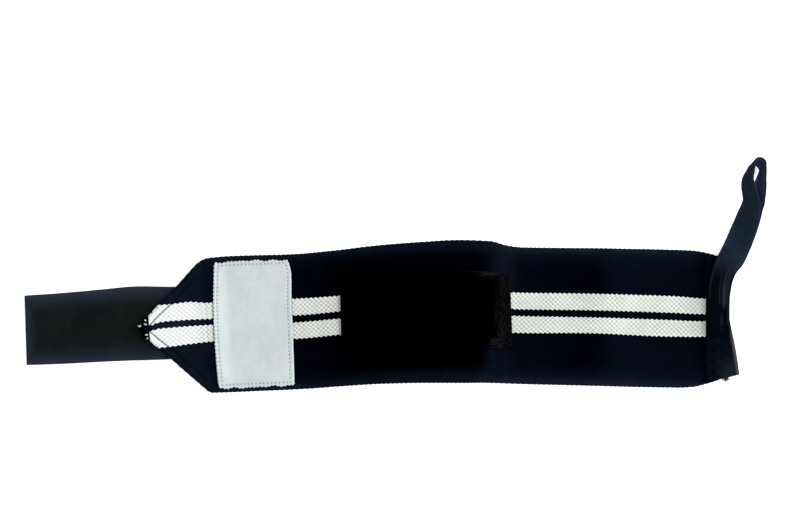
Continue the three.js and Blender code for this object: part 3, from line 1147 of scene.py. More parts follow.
@dataclass
class HookTab:
    """The hook tape tab: a woven backing with painted light along its selvedges, and a field of hooks on its
    lower face.
    """

    shop: Workshop
    form: BandForm
    thickness: float = 1.6
    backing: float = 0.85
    edge_round: float = 0.35
    step: float = 0.5
    heading_reach: float = 12.0
    grid: SlabGrid = SlabGrid(over=80, under=20, edge=8)
    end_lean: float = 0.018
    lean_range: Ramp = Ramp(30, 0)
    web_drop: float = 0.12
    selvedge_rise: float = 0.1
    selvedge_range: Ramp = Ramp(2.6, 1.6)
    end_drop: float = 0.15
    end_range: Ramp = Ramp(1.6, 0.4)
    rib_height: float = 0.05
    rib_along: float = 1.9
    rib_across: float = 1.6
    # Painted light along the tab's borders and selvedges, lighter on one side, and beside the band's folded V
    # where it offsets the fold's shadow.
    border_painted_light: float = 0.7
    border_reach: float = 6.5
    border_slant: float = 0.007
    end_squeeze: float = 1.7
    selvedge_painted_light: float = 0.2
    painted_v_fold_strength: float = 0.45
    painted_v_fold_reach: float = 4.5
    painted_v_fold_range: Ramp = Ramp(6, 14)
    mottle: Swells = (Swell(0.06, 23, 0.7), Swell(0.04, 5, 1.9))
    hook_pitch: float = 1.5
    hook_margin: float = 3.0
    sewn_margin: float = 1.0
    hook_root: float = 0.1
    hook_lean: float = 0.55
    hook_slant: float = 0.25
    hook_clear: float = 0.02
    hook_radius: float = 0.13
    hook_sides: int = 4
    hook_levels: tuple[float, ...] = (1.0, 0.55, 0.18, 0.16, 0.38)
    rows: Table = Table(
        "x y width",
        [
            (-205.2, -30.7, 38.6),
            (-183.9, -29.6, 39.3),
            (-164, -28.2, 40),
            (-141.8, -26.8, 41.1),
            (-120.8, -26.6, 40),
            (-106.4, -26.2, 39.7),
        ],
    )

    # Its mark paints light along the tab's borders and beside the V.
    tape: ClothFinish = ClothFinish(
        "hook_backing", (0.0046, 0.0069, 0.0065), (0.0064, 0.0094, 0.009), roughness=0.7, sheen=0.002,
        along_mm=0.9, across_mm=1.1, relief_mm=0.1, lint=0.03, marks=(("light", (0.019, 0.027, 0.042)),),
    )
    nylon: YarnFinish = YarnFinish("hook_nylon", (0.006, 0.007, 0.008), (0.018, 0.021, 0.024), 0.4, 0, 0.3)

    @property
    def span(self) -> Array:
        """First and last place along the tab."""
        return self.rows.columns["x"][[0, -1]]

    def points(self, x: Array, offset: Array, height: Array) -> Array:
        """Points at places along the tab, offsets across it and heights; its cut end leans a little."""
        x = x + self.end_lean * offset * self.lean_range(x - self.span[0])
        return beside_line(self.rows, self.heading_reach, x, offset, height)

    def make_backing(self) -> bpy.types.Object:
        """Rings across the tab: a thin flat section with ribs and a raised selvedge on each side.

        Returns:
            The backing, marked with painted light along its edges, its cut end and the band's folded V.
        """
        first, last = self.span
        x = np.linspace(first, last, round((last - first) / self.step))
        half = self.rows.read("width", x) / 2
        offset, side = self.grid.ring(-half, half, np.full(len(x), self.edge_round))
        x = x[:, None]
        inside = half[:, None] - np.abs(offset)
        selvedge = self.selvedge_range(inside)
        ribs = self.rib_height * wave(x, self.rib_along) * wave(offset, self.rib_across)
        top = self.thickness - self.web_drop + self.selvedge_rise * selvedge + ribs * (1 - selvedge)
        top = top - self.end_drop * self.end_range(x - first)
        height = between(self.thickness - self.backing, top, side)
        # Painted light along the borders, the selvedges and the V, with a random mottle.
        border = ridge(np.minimum(inside, self.end_squeeze * (x - first)), self.border_reach)
        light = self.border_painted_light * border * (1 + self.border_slant * offset) + self.selvedge_painted_light * selvedge
        light = light + self.painted_v_fold_strength * self.painted_v_fold_light(x, offset) + unevenness(self.mottle, x, offset)
        marks = {"light": np.clip(light, 0, 1)}
        return loft("tab_backing", self.points(x, offset, height), marks, cloth_map(x, offset))

    def painted_v_fold_light(self, x: Array, offset: Array) -> Array:
        """Share of painted light along the band's folded V, which offsets the fold's shadow on the tab,
        fading with the distance outside it.

        Args:
            x: Places along the tab.
            offset: Offsets across it.

        Returns:
            A ridge along the V's two folds, with nothing at its tip.
        """
        middle = self.form.rows.read("y", np.maximum(x, self.form.tip_x))
        across = np.abs(self.rows.read("y", x) + offset - middle)
        outside = np.maximum(across - (x - self.form.tip_x), 0)
        return ridge(outside, self.painted_v_fold_reach) * self.painted_v_fold_range(across)

    def make_hooks(self) -> bpy.types.Object:
        """Staggered rows of hooks that hang from the backing and curl over at the floor.

        Returns:
            One object with every hook, each a thread whose heights are shares of the room under the backing.
        """
        first, last = self.span
        along = np.arange(first + self.hook_margin, last - self.sewn_margin, self.hook_pitch)
        reach = self.rows.columns["width"].min() / 2 - self.hook_margin
        across = np.arange(-reach, reach, self.hook_pitch)
        x, offset = (values.reshape(-1, 1) for values in np.meshgrid(along, across, indexing="ij"))
        odd = (np.arange(len(x)) // len(across) % 2)[:, None]
        turn = np.linspace(0, 1, len(self.hook_levels))[None]
        way = np.sign(self.shop.draws.random(len(x)) - 0.5)[:, None]
        x = x + self.hook_lean * np.sin(np.pi * turn) * way
        offset = offset + 0.5 * self.hook_pitch * odd + self.hook_slant * turn
        room = self.thickness - self.backing + self.hook_root
        paths = self.points(x, offset, room * np.array(self.hook_levels) + self.hook_clear)
        shade = self.shop.draws.random(len(x))
        return strands("tab_hooks", paths, self.hook_radius, self.hook_sides, {"shade": shade})

    def build(self) -> None:
        """Make and dress the tab's pieces."""
        backing = self.shop.dress(self.make_backing(), self.tape, Slot.HOOK, "hook_tab")
        hooks = self.shop.dress(self.make_hooks(), self.nylon, Slot.HOOK)


@dataclass(frozen=True)
class Panel:
    """A flat panel sewn on the band: its two ends at offsets across the band, and its two edges."""

    ends: Table
    low: float
    high: float

    @property
    def length(self) -> float:
        """Mean length along the band."""
        return float(np.mean(self.ends.columns["end"] - self.ends.columns["start"]))

    def along(self, share: Array, offset: Array) -> Array:
        """Place along the band at a share of the way from the panel's start to its end."""
        first = self.ends.read("start", offset)
        return first + (self.ends.read("end", offset) - first) * share

    def from_ends(self, share: Array) -> Array:
        """Distance in from the nearer end."""
        return np.minimum(share, 1 - share) * self.length

    def from_edges(self, offset: Array) -> Array:
        """Distance in from the nearer edge."""
        return np.minimum(offset - self.low, self.high - offset)


class Loops(NamedTuple):
    """Many loops of yarn: each one's place on the panel, reach between its feet, height, heading and tone."""

    share: Array
    offset: Array
    reach: Array
    lift: Array
    heading: Array
    shade: Array


@dataclass
class LoopPatch:
    """The loop tape patch: a backing, a pile of small loops and longer pulled fibres at its worn end."""

    shop: Workshop
    form: BandForm
    panel: Panel = Panel(Table("offset start end", [(-19, -31.9, 66), (22, -29.1, 61.1)]), -19, 22)
    grid: SlabGrid = SlabGrid(over=60, under=20, edge=8)
    backing: float = 1.1
    step: float = 0.6
    edge_round: float = 0.4
    edge_wave: float = 0.18
    low_turn: float = 160.0
    high_turn: float = 151.0
    top_swell: Swells = (Swell(0.12, 4.3, 0.4),)
    worn_range: Ramp = Ramp(0.89, 0.95)
    worn_middle: float = 0.55
    worn_corner: float = 0.4
    spared: float = 0.75
    spared_side: Ramp = Ramp(-8, -15)
    spared_end: Ramp = Ramp(0.92, 0.97)
    loop_points: int = 6
    loop_sides: int = 3
    loop_root: float = 0.15
    loop_inset: float = 0.1
    share_range: tuple[float, float] = (0.004, 0.996)
    pile_count: int = 5600
    pile_radius: float = 0.1
    pile_lean: float = 0.4
    pile_margin: float = 0.3
    pile_share: tuple[float, float] = (0.008, 0.992)
    pile_reach: tuple[float, float] = (0.7, 1.5)
    pile_lift: tuple[float, float] = (0.5, 0.95)
    fuzz_radius: float = 0.09
    fuzz_lean: float = 0.9
    fuzz_stretch: tuple[float, float] = (0.6, 1.3)
    fuzz_lift: tuple[float, float] = (0.5, 1.2)
    fuzz_turn: float = 0.4
    fuzz_shade: float = 0.22
    tufts: Table = Table(
        "share offset count along across reach heading shade",
        [
            (0.872, 21.2, 30, 2.8, 0.5, 8, -0.1, 0.6),
            (0.955, 17, 34, 2.2, 2.6, 4, 1.3, 0.15),
            (0.952, 9, 30, 2, 3.2, 4, 1.9, 0.05),
            (0.955, 1, 22, 2, 2.8, 5, 2.1, 0.1),
            (0.95, -7, 36, 1.6, 3.2, 7, 1.3, 0.2),
            (0.915, -16.5, 70, 2.4, 1.4, 4.5, 0.15, 0.42),
            (0.94, -11, 26, 1, 1.6, 4, 1.8, 0.35),
            (0.985, -14, 26, 1, 2.4, 4, 1.2, 0),
        ],
    )

    ground: ClothFinish = ClothFinish(
        "loop_ground", (0.00005, 0.00005, 0.00008), (0.00012, 0.00012, 0.00018), lint=0.0,
        marks=(("worn", (0.0058, 0.0041, 0.005)),),
    )
    pile: YarnFinish = YarnFinish("loop_pile", (0.00008, 0.00008, 0.00012), (0.0004, 0.0004, 0.0005), 0.9)
    fuzz: YarnFinish = YarnFinish("loop_fuzz", (0.0028, 0.002, 0.0026), (0.0275, 0.0235, 0.0248), 0.9)

    def worn(self, share: Array, offset: Array) -> Array:
        """Share of wear: along the right end, most at its higher corner and least at its lower one.

        Args:
            share: Shares of the way along the patch.
            offset: Offsets across it.

        Returns:
            The wear at each place.
        """
        middle = (self.panel.low + self.panel.high) / 2
        corner = np.abs(offset - middle) / (self.panel.high - middle)
        spared = self.spared * self.spared_side(offset) * self.spared_end(share)
        return self.worn_range(share) * (self.worn_middle + self.worn_corner * corner**2) * (1 - spared)

    def make_ground(self) -> bpy.types.Object:
        """Rings across the patch, on the band's upper face, with wavy edges and a softly uneven top.

        Returns:
            The backing, marked where it is worn.
        """
        panel = self.panel
        share = np.linspace(0, 1, round(panel.length / self.step))
        low = panel.low + self.edge_wave * np.sin(share * self.low_turn)
        high = panel.high + self.edge_wave * np.sin(share * self.high_turn)
        offset, side = self.grid.ring(low, high, np.full(len(share), self.edge_round))
        share = share[:, None]
        x = panel.along(share, offset)
        bottom = self.form.thickness + self.form.layer_gap
        height = between(bottom, bottom + self.backing + unevenness(self.top_swell, x, offset), side)
        marks = {"worn": self.worn(share, offset)}
        return loft("patch_ground", self.form.points(x, offset, height), marks, cloth_map(x, offset))

    def make_loops(self, name: str, loops: Loops, thick: float, flat: float) -> bpy.types.Object:
        """Loops of yarn that rise from the backing, lean over and come down again along their headings.

        Args:
            name: The piece's name.
            loops: Where the loops are and how large.
            thick: Radius of the yarn.
            flat: How far a loop leans over, as a share of its height.

        Returns:
            One object with every loop.
        """
        panel = self.panel
        share, offset, reach, lift, heading, shade = (values[:, None] for values in loops)
        lean = self.shop.draws.normal(0, flat, share.shape) * lift
        t = np.linspace(0, 1, self.loop_points)[None]
        step, rise = reach * (t - 0.5), np.sin(np.pi * t)
        along = (step * np.cos(heading) - lean * rise * np.sin(heading)) / panel.length
        across = offset + step * np.sin(heading) + lean * rise * np.cos(heading)
        across = np.clip(across, panel.low + self.loop_inset, panel.high - self.loop_inset)
        x = panel.along(np.clip(share + along, *self.share_range), across)
        base = self.form.thickness + self.form.layer_gap + self.backing - self.loop_root
        paths = self.form.points(x, across, base + lift * rise)
        return strands(name, paths, thick, self.loop_sides, {"shade": shade})

    def pile_loops(self) -> Loops:
        """Small loops scattered evenly over the whole patch, with headings all round.

        Returns:
            The loops, each measure drawn evenly between its two limits.
        """
        draws, panel, count = self.shop.draws, self.panel, self.pile_count
        across = (panel.low + self.pile_margin, panel.high - self.pile_margin)
        ranges = (self.pile_share, across, self.pile_reach, self.pile_lift, (0, 2 * np.pi), (0, 1))
        return Loops(*(draws.uniform(*limits, count) for limits in ranges))

    def pulled_loops(self) -> Loops:
        """Long pulled fibres, in one tuft for each row of the tufts' table, spread about the tuft's middle.

        Returns:
            The fibres of every tuft.
        """
        draws, rows = self.shop.draws, self.tufts.columns
        row = {name: np.repeat(values, rows["count"].astype(int)) for name, values in rows.items()}
        count = len(row["share"])
        return Loops(
            row["share"] + draws.normal(0, 1, count) * row["along"] / self.panel.length,
            row["offset"] + draws.normal(0, 1, count) * row["across"],
            row["reach"] * draws.uniform(*self.fuzz_stretch, count),
            draws.uniform(*self.fuzz_lift, count),
            row["heading"] + draws.normal(0, self.fuzz_turn, count),
            np.clip(row["shade"] + draws.normal(0, self.fuzz_shade, count), 0, 1),
        )

    def build(self) -> None:
        """Make and dress the patch's pieces."""
        ground = self.shop.dress(self.make_ground(), self.ground, Slot.LOOP, "loop_patch")
        pile = self.make_loops("patch_pile", self.pile_loops(), self.pile_radius, self.pile_lean)
        fuzz = self.make_loops("patch_fuzz", self.pulled_loops(), self.fuzz_radius, self.fuzz_lean)
        extras = [self.shop.dress(pile, self.pile, Slot.LOOP), self.shop.dress(fuzz, self.fuzz, Slot.LOOP)]


@dataclass
class Label:
    """The satin label: a plain white panel with a sewn border and gently scalloped edges."""

    shop: Workshop
    form: BandForm
    panel: Panel = Panel(
        Table(
            "offset start end",
            [
                (-35.6, -100.2, -58.2),
                (-20, -100.7, -57.9),
                (-8, -100.9, -57.7),
                (10, -100.4, -57.6),
                (26, -99.3, -56.8),
                (34.3, -98.6, -58.3),
            ],
        ),
        -35.6, 34.3,
    )
    thickness: float = 1.0
    grid: SlabGrid = SlabGrid(over=240, under=24, edge=8)
    step: float = 0.3
    edge_round: float = 0.35
    corner: float = 1.2
    scallop: float = 0.24
    end_power: int = 9
    low_fray: Swells = (Swell(0.62, 10, 0.6),)
    high_fray: Swells = (Swell(0.62, 11, 2.2),)
    buckle: Swells = (Swell(0.06, 26, 0.9), Swell(0.025, 7, 1.7))
    edge_fall: float = 0.25
    edge_range: Ramp = Ramp(0.5, 0)
    border: float = 1.9
    dip: float = 0.32
    dip_between: float = 0.55
    dip_width: float = 0.55
    hole_width: float = 0.42
    hole_power: int = 4
    hole_tone: float = 0.85
    stitch: float = 2.15
    stitch_cover: float = 0.74
    stitch_rise: float = 0.16
    stitch_depth: float = 0.75
    stitch_radius: float = 0.2

    # Its mark paints shade at the needle holes.
    satin: ClothFinish = ClothFinish(
        "white_satin", (0.46, 0.512, 0.52), (0.51, 0.565, 0.57), roughness=0.5, specular=0.2,
        along_mm=0.42, across_mm=1.6, relief_mm=0.025, lint=0, marks=(("painted_hole_shade", (0.03, 0.035, 0.045)),),
    )
    sewn: YarnFinish = YarnFinish("label_thread", (0.45, 0.5, 0.51), (0.6, 0.65, 0.66), 0.6, 0, 0.1)

    def needle_holes(self, share: Array, offset: Array) -> Array:
        """How near a place is to a needle hole of the border's seam, from 0 to 1, going along each edge.

        Args:
            share: Shares of the way along the label.
            offset: Offsets across it.

        Returns:
            A raised cosine along the nearer side, sharpened, times a ridge along the seam.
        """
        panel = self.panel
        ends, edges = panel.from_ends(share), panel.from_edges(offset)
        run = np.where(ends < edges, offset - panel.low, share * panel.length)
        hole = (0.5 + 0.5 * wave(run, self.stitch)) ** self.hole_power
        return hole * ridge(np.minimum(ends, edges) - self.border, self.hole_width)

    def make_panel(self) -> bpy.types.Object:
        """Rings across the label: a thin section dipped along the sewn border, with scalloped edges.

        Returns:
            The panel, with painted shade at its needle holes.
        """
        panel = self.panel
        share = np.linspace(0, 1, round(panel.length / self.step))
        run = share * panel.length
        tooth = self.scallop * wave(run, self.stitch)
        short = np.maximum(self.corner - np.minimum(run, panel.length - run), 0)
        rounding = self.corner - np.sqrt(self.corner**2 - short**2)
        low = panel.low + tooth + unevenness(self.low_fray, run, run) + rounding
        high = panel.high - tooth + unevenness(self.high_fray, run, run) - rounding
        offset, side = self.grid.ring(low, high, np.full(len(share), self.edge_round))
        share = share[:, None]
        tooth = self.scallop * wave(offset - panel.low, self.stitch) * (2 * share - 1) ** self.end_power
        x = panel.along(share, offset) - tooth
        inside = np.minimum(panel.from_ends(share), panel.from_edges(offset))
        hole = self.needle_holes(share, offset)
        dip = ridge(inside - self.border, self.dip_width) * (self.dip_between + (1 - self.dip_between) * hole)
        bottom = self.form.thickness + self.form.layer_gap
        top = bottom + self.thickness - self.dip * dip + unevenness(self.buckle, x, offset)
        height = between(bottom, top - self.edge_fall * self.edge_range(inside), side)
        # Painted shade at the needle holes.
        marks = {"painted_hole_shade": self.hole_tone * hole}
        return loft("label_panel", self.form.points(x, offset, height), marks, cloth_map(x, offset))

    def make_border(self) -> bpy.types.Object:
        """Threads of the sewn border, one between each two needle holes along the four edges.

        Returns:
            One object with the threads of the two long runs and the two short ones.
        """
        panel, paths = self.panel, []
        length, width = panel.length, panel.high - panel.low
        first = np.ceil(self.border / self.stitch) * self.stitch
        rest = self.form.thickness + self.form.layer_gap + self.thickness - self.dip * self.stitch_depth
        for lengthways, size, other in ((True, length, width), (False, width, length)):
            count = int((size - 2 * self.border) / self.stitch)
            at, turn = stitch_run(count, self.stitch_cover)
            at = np.minimum(first + at * self.stitch, size - self.border)
            for inset in (self.border, other - self.border):
                fixed = np.full(at.shape, inset)
                run, across = (at, fixed) if lengthways else (fixed, at)
                offset, height = panel.low + across, rest + self.stitch_rise * np.sin(np.pi * turn)
                paths.append(self.form.points(panel.along(run / length, offset), offset, height))
        threads = np.concatenate(paths)
        shade = self.shop.draws.random(len(threads))
        return strands("label_border", threads, self.stitch_radius, marks={"shade": shade})

    def build(self) -> None:
        """Make and dress the label's pieces."""
        panel = self.shop.dress(self.make_panel(), self.satin, Slot.LABEL, "label")
        border = self.shop.dress(self.make_border(), self.sewn, Slot.LABEL)


@dataclass
class EndBinding:
    """The tape folded over the band's raw end, with its seam and a frayed corner."""

    shop: Workshop
    thickness: float = 1.0
    height: float = 4.1
    leaf_columns: int = 26
    arc_columns: int = 14
    stations: int = 170
    row_run: float = 11.0
    weave_run: float = 11.5
    upper_leaf: Ramp = Ramp(-0.6, -0.1)
    face_swell: Swells = (Swell(0.07, 5, 0.6),)
    mottle: Swells = (Swell(0.14, 7, 1.1),)
    even_mottle: float = 0.3
    # Painted light: a painted highlight along the fold, painted light near the fold at the low end, and a
    # random mottle.
    base_light: float = 0.04
    fold_painted_highlight: float = 0.3
    fold_range: Ramp = Ramp(2.2, 0.3)
    low_end_painted_light: float = 0.5
    low_range: Ramp = Ramp(1.8, 0.2)
    outer_range: Ramp = Ramp(0.75, 0.35)
    edge_painted_highlight: float = 0.8
    edge_range: Ramp = Ramp(2.4, 1)
    edge_rows: Ramp = Ramp(2.9, 1.9)
    seam_inset: float = 4.4
    stitches: int = 26
    stitch_cover: float = 0.8
    stitch_rise: float = 0.2
    stitch_sink: float = 0.06
    stitch_radius: float = 0.2
    fray_count: int = 90
    fray_points: int = 8
    fray_sides: int = 5
    fray_curl: float = 4.0
    fray_rise: float = 0.25
    fray_bobs: int = 3
    fray_x: tuple[float, float] = (182.5, 0.7)
    fray_y: tuple[float, float] = (-56.9, 0.4)
    fray_z: tuple[float, float] = (1.2, 4.0)
    fray_step: tuple[float, float] = (0.12, 0.34)
    fray_radius: float = 0.15
    rows: Table = Table(
        "at edge_x edge_y fold_x fold_y",
        [
            (0, 171.5, -59.6, 190.2, -55.2),
            (1, 171.5, -51, 189.1, -47.2),
            (2, 171.5, -40, 187.7, -38.9),
            (3, 171.5, -24, 184.6, -22.2),
            (4, 171.5, -13.5, 184.8, -13.9),
            (5, 171.5, 0, 186.6, -1.2),
            (6, 171.5, 11.6, 187.2, 7),
        ],
    )

    # Its marks paint light on the fold and the low end, and a highlight along the low end's edge.
    tape: ClothFinish = ClothFinish(
        "binding_tape", (0.0006, 0.0016, 0.0034), (0.0011, 0.0026, 0.005), sheen=0.001, along_mm=1.0,
        across_mm=0.7, relief_mm=0.14, lint=0.02,
        marks=(("light", (0.0125, 0.0195, 0.0255)), ("edge", (0.05, 0.05, 0.055))),
    )
    thread: YarnFinish = YarnFinish("binding_thread", (0.0006, 0.0015, 0.0032), (0.0014, 0.003, 0.0054))
    tangle: YarnFinish = YarnFinish("frayed_navy", (0.006, 0.007, 0.012), (0.03, 0.032, 0.045))

    def frame_at(self, at: Array) -> tuple[Array, Array, Array]:
        """Fold point, inward direction and reach of the leaves at places along the bound end.

        Args:
            at: Places along the bound end, counted in the table's rows.

        Returns:
            The point on the fold, the direction in from it and the distance to the tape's free edge.
        """
        fold, edge = (
            np.stack([self.rows.read(f"{line}_{axis}", at) for axis in "xy"], -1) for line in ("fold", "edge")
        )
        reach = np.linalg.norm(edge - fold, axis=-1)
        return fold, (edge - fold) / reach[..., None], reach

    def wall(self, reach: Array, radius: float) -> tuple[Array, Array]:
        """One wall of the folded tape: out along the lower leaf, round the fold and back along the upper one.

        Args:
            reach: Distance from the fold to the free edge at each station.
            radius: Radius of the wall's turn.

        Returns:
            Distances in from the fold and heights, one row for each station.
        """
        middle = self.height / 2
        turn = np.linspace(-np.pi / 2, np.pi / 2, self.arc_columns)[None]
        leaf = np.linspace(1, 0, self.leaf_columns)[None, :-1]
        ones = np.ones((len(reach), 1))
        run = middle + (reach[:, None] - middle) * leaf
        low = np.full_like(run, middle - radius)
        distance = np.concatenate([run, ones * (middle - radius * np.cos(turn)), run[:, ::-1]], 1)
        height = np.concatenate([low, ones * (middle + radius * np.sin(turn)), 2 * middle - low], 1)
        return distance, height

    def points(self, at: Array, distance: Array, height: Array) -> Array:
        """Points at places along the bound end, distances in from the fold and heights over the floor."""
        fold, inward, _ = self.frame_at(at)
        return np.concatenate([fold + inward * distance[..., None], height[..., None]], -1)

    def make_tape(self) -> bpy.types.Object:
        """Folded sections along the bound end: the inner wall out and the outer wall back.

        Returns:
            The tape, with painted light on its fold and its low end, and a painted highlight along the low
            end's edge.
        """
        at = np.linspace(0, self.rows.columns["at"][-1], self.stations)
        reach = self.frame_at(at)[2]
        walls = self.wall(reach, self.height / 2 - self.thickness), self.wall(reach, self.height / 2)
        distance, height = (np.concatenate([inner, outer[:, ::-1]], 1) for inner, outer in zip(*walls))
        place = np.broadcast_to(at[:, None], distance.shape)
        run = place * self.row_run
        upper = self.upper_leaf(height - self.height)
        height = height + upper * unevenness(self.face_swell, run, distance)
        low_end = self.low_range(place)
        outer = self.outer_range(distance / reach[:, None])
        mottle = unevenness(self.mottle, run, distance)
        mottle = mottle * (self.even_mottle + (1 - self.even_mottle) * low_end)
        # Painted light and highlights on the fold and the low end.
        light = self.base_light + self.fold_painted_highlight * self.fold_range(distance)
        light = light + self.low_end_painted_light * low_end * outer + mottle
        edge = self.edge_painted_highlight * self.edge_range(distance) * self.edge_rows(place)
        marks = {"light": np.clip(light, 0, 1), "edge": edge}
        cloth = cloth_map(place * self.weave_run, distance)
        return loft("binding_tape", self.points(place, distance, height), marks, cloth)

    def make_seam(self) -> bpy.types.Object:
        """A row of stitches inside the tape's free edge, on its upper leaf.

        Returns:
            One object with every stitch.
        """
        at, turn = stitch_run(self.stitches, self.stitch_cover)
        at = self.rows.columns["at"][-1] * at / self.stitches
        height = self.height + self.stitch_rise * stitch_arch(turn) - self.stitch_sink
        distance = self.frame_at(at)[2] - self.seam_inset
        paths = self.points(at, distance, np.broadcast_to(height, at.shape))
        shade = self.shop.draws.random(self.stitches)
        return strands("binding_seam", paths, self.stitch_radius, marks={"shade": shade})

    def make_fray(self) -> bpy.types.Object:
        """A small tangle of thread ends at the tape's lower end: each turns steadily as it goes.

        Returns:
            One object with every thread.
        """
        count, draws = self.fray_count, self.shop.draws
        t = np.linspace(0, 1, self.fray_points)[None]
        heading = draws.uniform(0, 2 * np.pi, (count, 1))
        heading = heading + draws.uniform(-self.fray_curl, self.fray_curl, (count, 1)) * t
        bob = self.fray_rise * np.sin(self.fray_bobs * heading)
        step = np.stack([np.cos(heading), np.sin(heading), bob], -1)
        x, y = draws.normal(*self.fray_x, count), draws.normal(*self.fray_y, count)
        start = np.stack([x, y, draws.uniform(*self.fray_z, count)], 1)
        paths = start[:, None] + np.cumsum(step, 1) * draws.uniform(*self.fray_step, (count, 1, 1))
        shade = draws.random(count)
        return strands("binding_fray", paths, self.fray_radius, self.fray_sides, {"shade": shade})

    def build(self) -> None:
        """Make and dress the binding's pieces."""
        tape = self.shop.dress(self.make_tape(), self.tape, Slot.BINDING, "end_binding")
        extras = [
            self.shop.dress(self.make_seam(), self.thread, Slot.BINDING),
            self.shop.dress(self.make_fray(), self.tangle, Slot.BINDING),
        ]


@dataclass
class ThumbLoop:
    """The thumb loop: one tape, out along the upper leg, round the turn and back along the lower one."""

    shop: Workshop
    thickness: float = 1.1
    grid: SlabGrid = SlabGrid(over=44, under=44, edge=8)
    edge_round: float = 0.4
    leg_stations: int = 260
    turn_stations: int = 26
    heading_reach: float = 0.05
    web_drop: float = 0.06
    selvedge_rise: float = 0.05
    selvedge_range: Ramp = Ramp(1.7, 0.9)
    rib_height: float = 0.045
    rib_along: float = 1.0
    rib_across: float = 2.3
    end_thinness: float = 0.45
    end_range: Ramp = Ramp(0, 0.35)
    pleat_rise: float = 0.35
    pleat_start: float = 0.4
    pleat_end: float = 0.7
    pleat_sway: float = 0.3
    sway_run: float = 7.0
    # Painted highlights on the pleats and along the selvedges.
    pleat_painted_highlight: float = 0.85
    selvedge_painted_light: float = 0.08
    mottle: Swells = (Swell(0.06, 14, 0.8),)
    # Painted shade near the sewn base.
    painted_base_shade: float = 0.95
    painted_base_shade_range: Ramp = Ramp(4.2, 2.2)
    # Painted blue light on the turned leg's inner face, and a painted glow along the upper leg's rims.
    turned_painted_light: float = 0.85
    turned_range: Ramp = Ramp(7.8, 9.8)
    turned_face: Ramp = Ramp(-0.55, -1)
    turned_edge: Ramp = Ramp(0.2, 1.2)
    rim_painted_glow: float = 0.055
    rim_start: Ramp = Ramp(4, 5)
    rim_end: Ramp = Ramp(9.2, 8.2)
    rim_edge: Ramp = Ramp(4.5, 1)
    tack_rows: tuple[float, float] = (0.3, 0.92)
    tack_stitches: int = 14
    tack_width: float = 11.6
    tack_cover: float = 0.85
    tack_rise: float = 0.22
    tack_sink: float = 0.05
    tack_radius: float = 0.19
    rows: Table = Table(
        "at x y z width roll spacing",
        [
            (0, 178.3, -33, 5.575, 12.5, 0, 1.35),
            (1, 178.3, -19.5, 5.575, 12.5, 0, 1.35),
            (2, 178.7, -8.4, 5.575, 12.6, 0, 1.35),
            (3, 181.7, 2.7, 5.575, 13.2, 0, 1.35),
            (4, 186.3, 10.6, 5.575, 14.8, 0, 1.35),
            (5, 189.6, 17.8, 5.9, 14.6, 8, 1.35),
            (6, 192.6, 25.3, 6.6, 14.6, 22, 1.35),
            (7, 194.9, 31.5, 7.8, 14.6, 31, 1.4),
            (8, 196.8, 37.2, 9.2, 14.7, 44, 1.6),
            (9, 197.7, 41.5, 10.2, 15, 51, 2.9),
            (10, 197.7, 47, 11.4, 15, 60, 6.2),
            (11, 197.8, 52, 11.1, 14.7, 68, 7.7),
            (12, 199.6, 59.7, 8.5, 14.4, 82, 6.5),
        ],
    )
    pleats: Table = Table(
        "offset width strength start end",
        [
            (-5.8, 1, 0.5, 2.8, 4.9),
            (-5.1, 0.45, 0.45, 0.2, 3.2),
            (-3.9, 0.55, 0.55, 1.1, 3.4),
            (-3, 0.45, 0.9, 0.9, 2.7),
            (-2.2, 0.4, 0.7, 0.95, 3.5),
            (-1.5, 0.6, 0.4, 0.1, 1.1),
            (-0.4, 0.4, 0.35, 1.1, 2.9),
            (4.9, 0.4, 0.3, 1.4, 3.8),
        ],
    )

    # Its marks paint shade near the sewn base, highlights on the pleats and blue light on the turned leg.
    tape: ClothFinish = ClothFinish(
        "thumb_tape", (0.0075, 0.0125, 0.0225), (0.0105, 0.0172, 0.031), roughness=0.75, sheen=0.002,
        along_mm=1.0, across_mm=1.15, relief_mm=0.2, lint=0.02,
        marks=(
            ("painted_dark", (0.0007, 0.0013, 0.0023)), ("light", (0.024, 0.031, 0.038)),
            ("painted_blue_light", (0.057, 0.082, 0.19)),
        ),
    )
    thread: YarnFinish = YarnFinish("thumb_thread", (0.0007, 0.0012, 0.002), (0.002, 0.003, 0.0045))

    def stack(self, at: Array) -> tuple[Array, Array, Array]:
        """Middle, heading and normal of the stacked legs, whose level normal is turned by their roll.

        Args:
            at: Places along the legs, counted in the table's rows.

        Returns:
            The middle between the legs, the way they run and the way they are stacked.
        """
        middle, ahead, behind = (
            np.stack([self.rows.read(axis, at + shift) for axis in "xyz"], -1)
            for shift in (0, self.heading_reach, -self.heading_reach)
        )
        along = unit(ahead - behind)
        left = unit(np.cross([0.0, 0, 1], along))
        level = np.cross(along, left)
        roll = np.radians(self.rows.read("roll", at))[..., None]
        return middle, along, level * np.cos(roll) + left * np.sin(roll)

    def route(self) -> tuple[Array, Array, Array, Array]:
        """Path of the tape: half the spacing over the stack, half a circle round its end and back under it.

        Returns:
            Its centre, its heading, the way across it and the place in the table, from end to end.
        """
        last = self.rows.columns["at"][-1]
        at = np.linspace(0, last, self.leg_stations)
        middle, along, normal = self.stack(at)
        across = np.cross(normal, along)
        half = self.rows.read("spacing", at)[:, None] / 2
        turn = np.linspace(0, np.pi, self.turn_stations)[1:-1, None]
        spoke = normal[-1] * np.cos(turn) + along[-1] * np.sin(turn)
        bend = middle[-1] + spoke * half[-1]
        heading = along[-1] * np.cos(turn) - normal[-1] * np.sin(turn)
        centre = np.concatenate([middle + normal * half, bend, (middle - normal * half)[::-1]])
        headings = np.concatenate([along, heading, -along[::-1]])
        sides = np.concatenate([across, np.repeat(across[-1:], len(turn), 0), across[::-1]])
        place = np.concatenate([at, last + np.sin(turn[:, 0]), at[::-1]])
        return centre, headings, sides, place

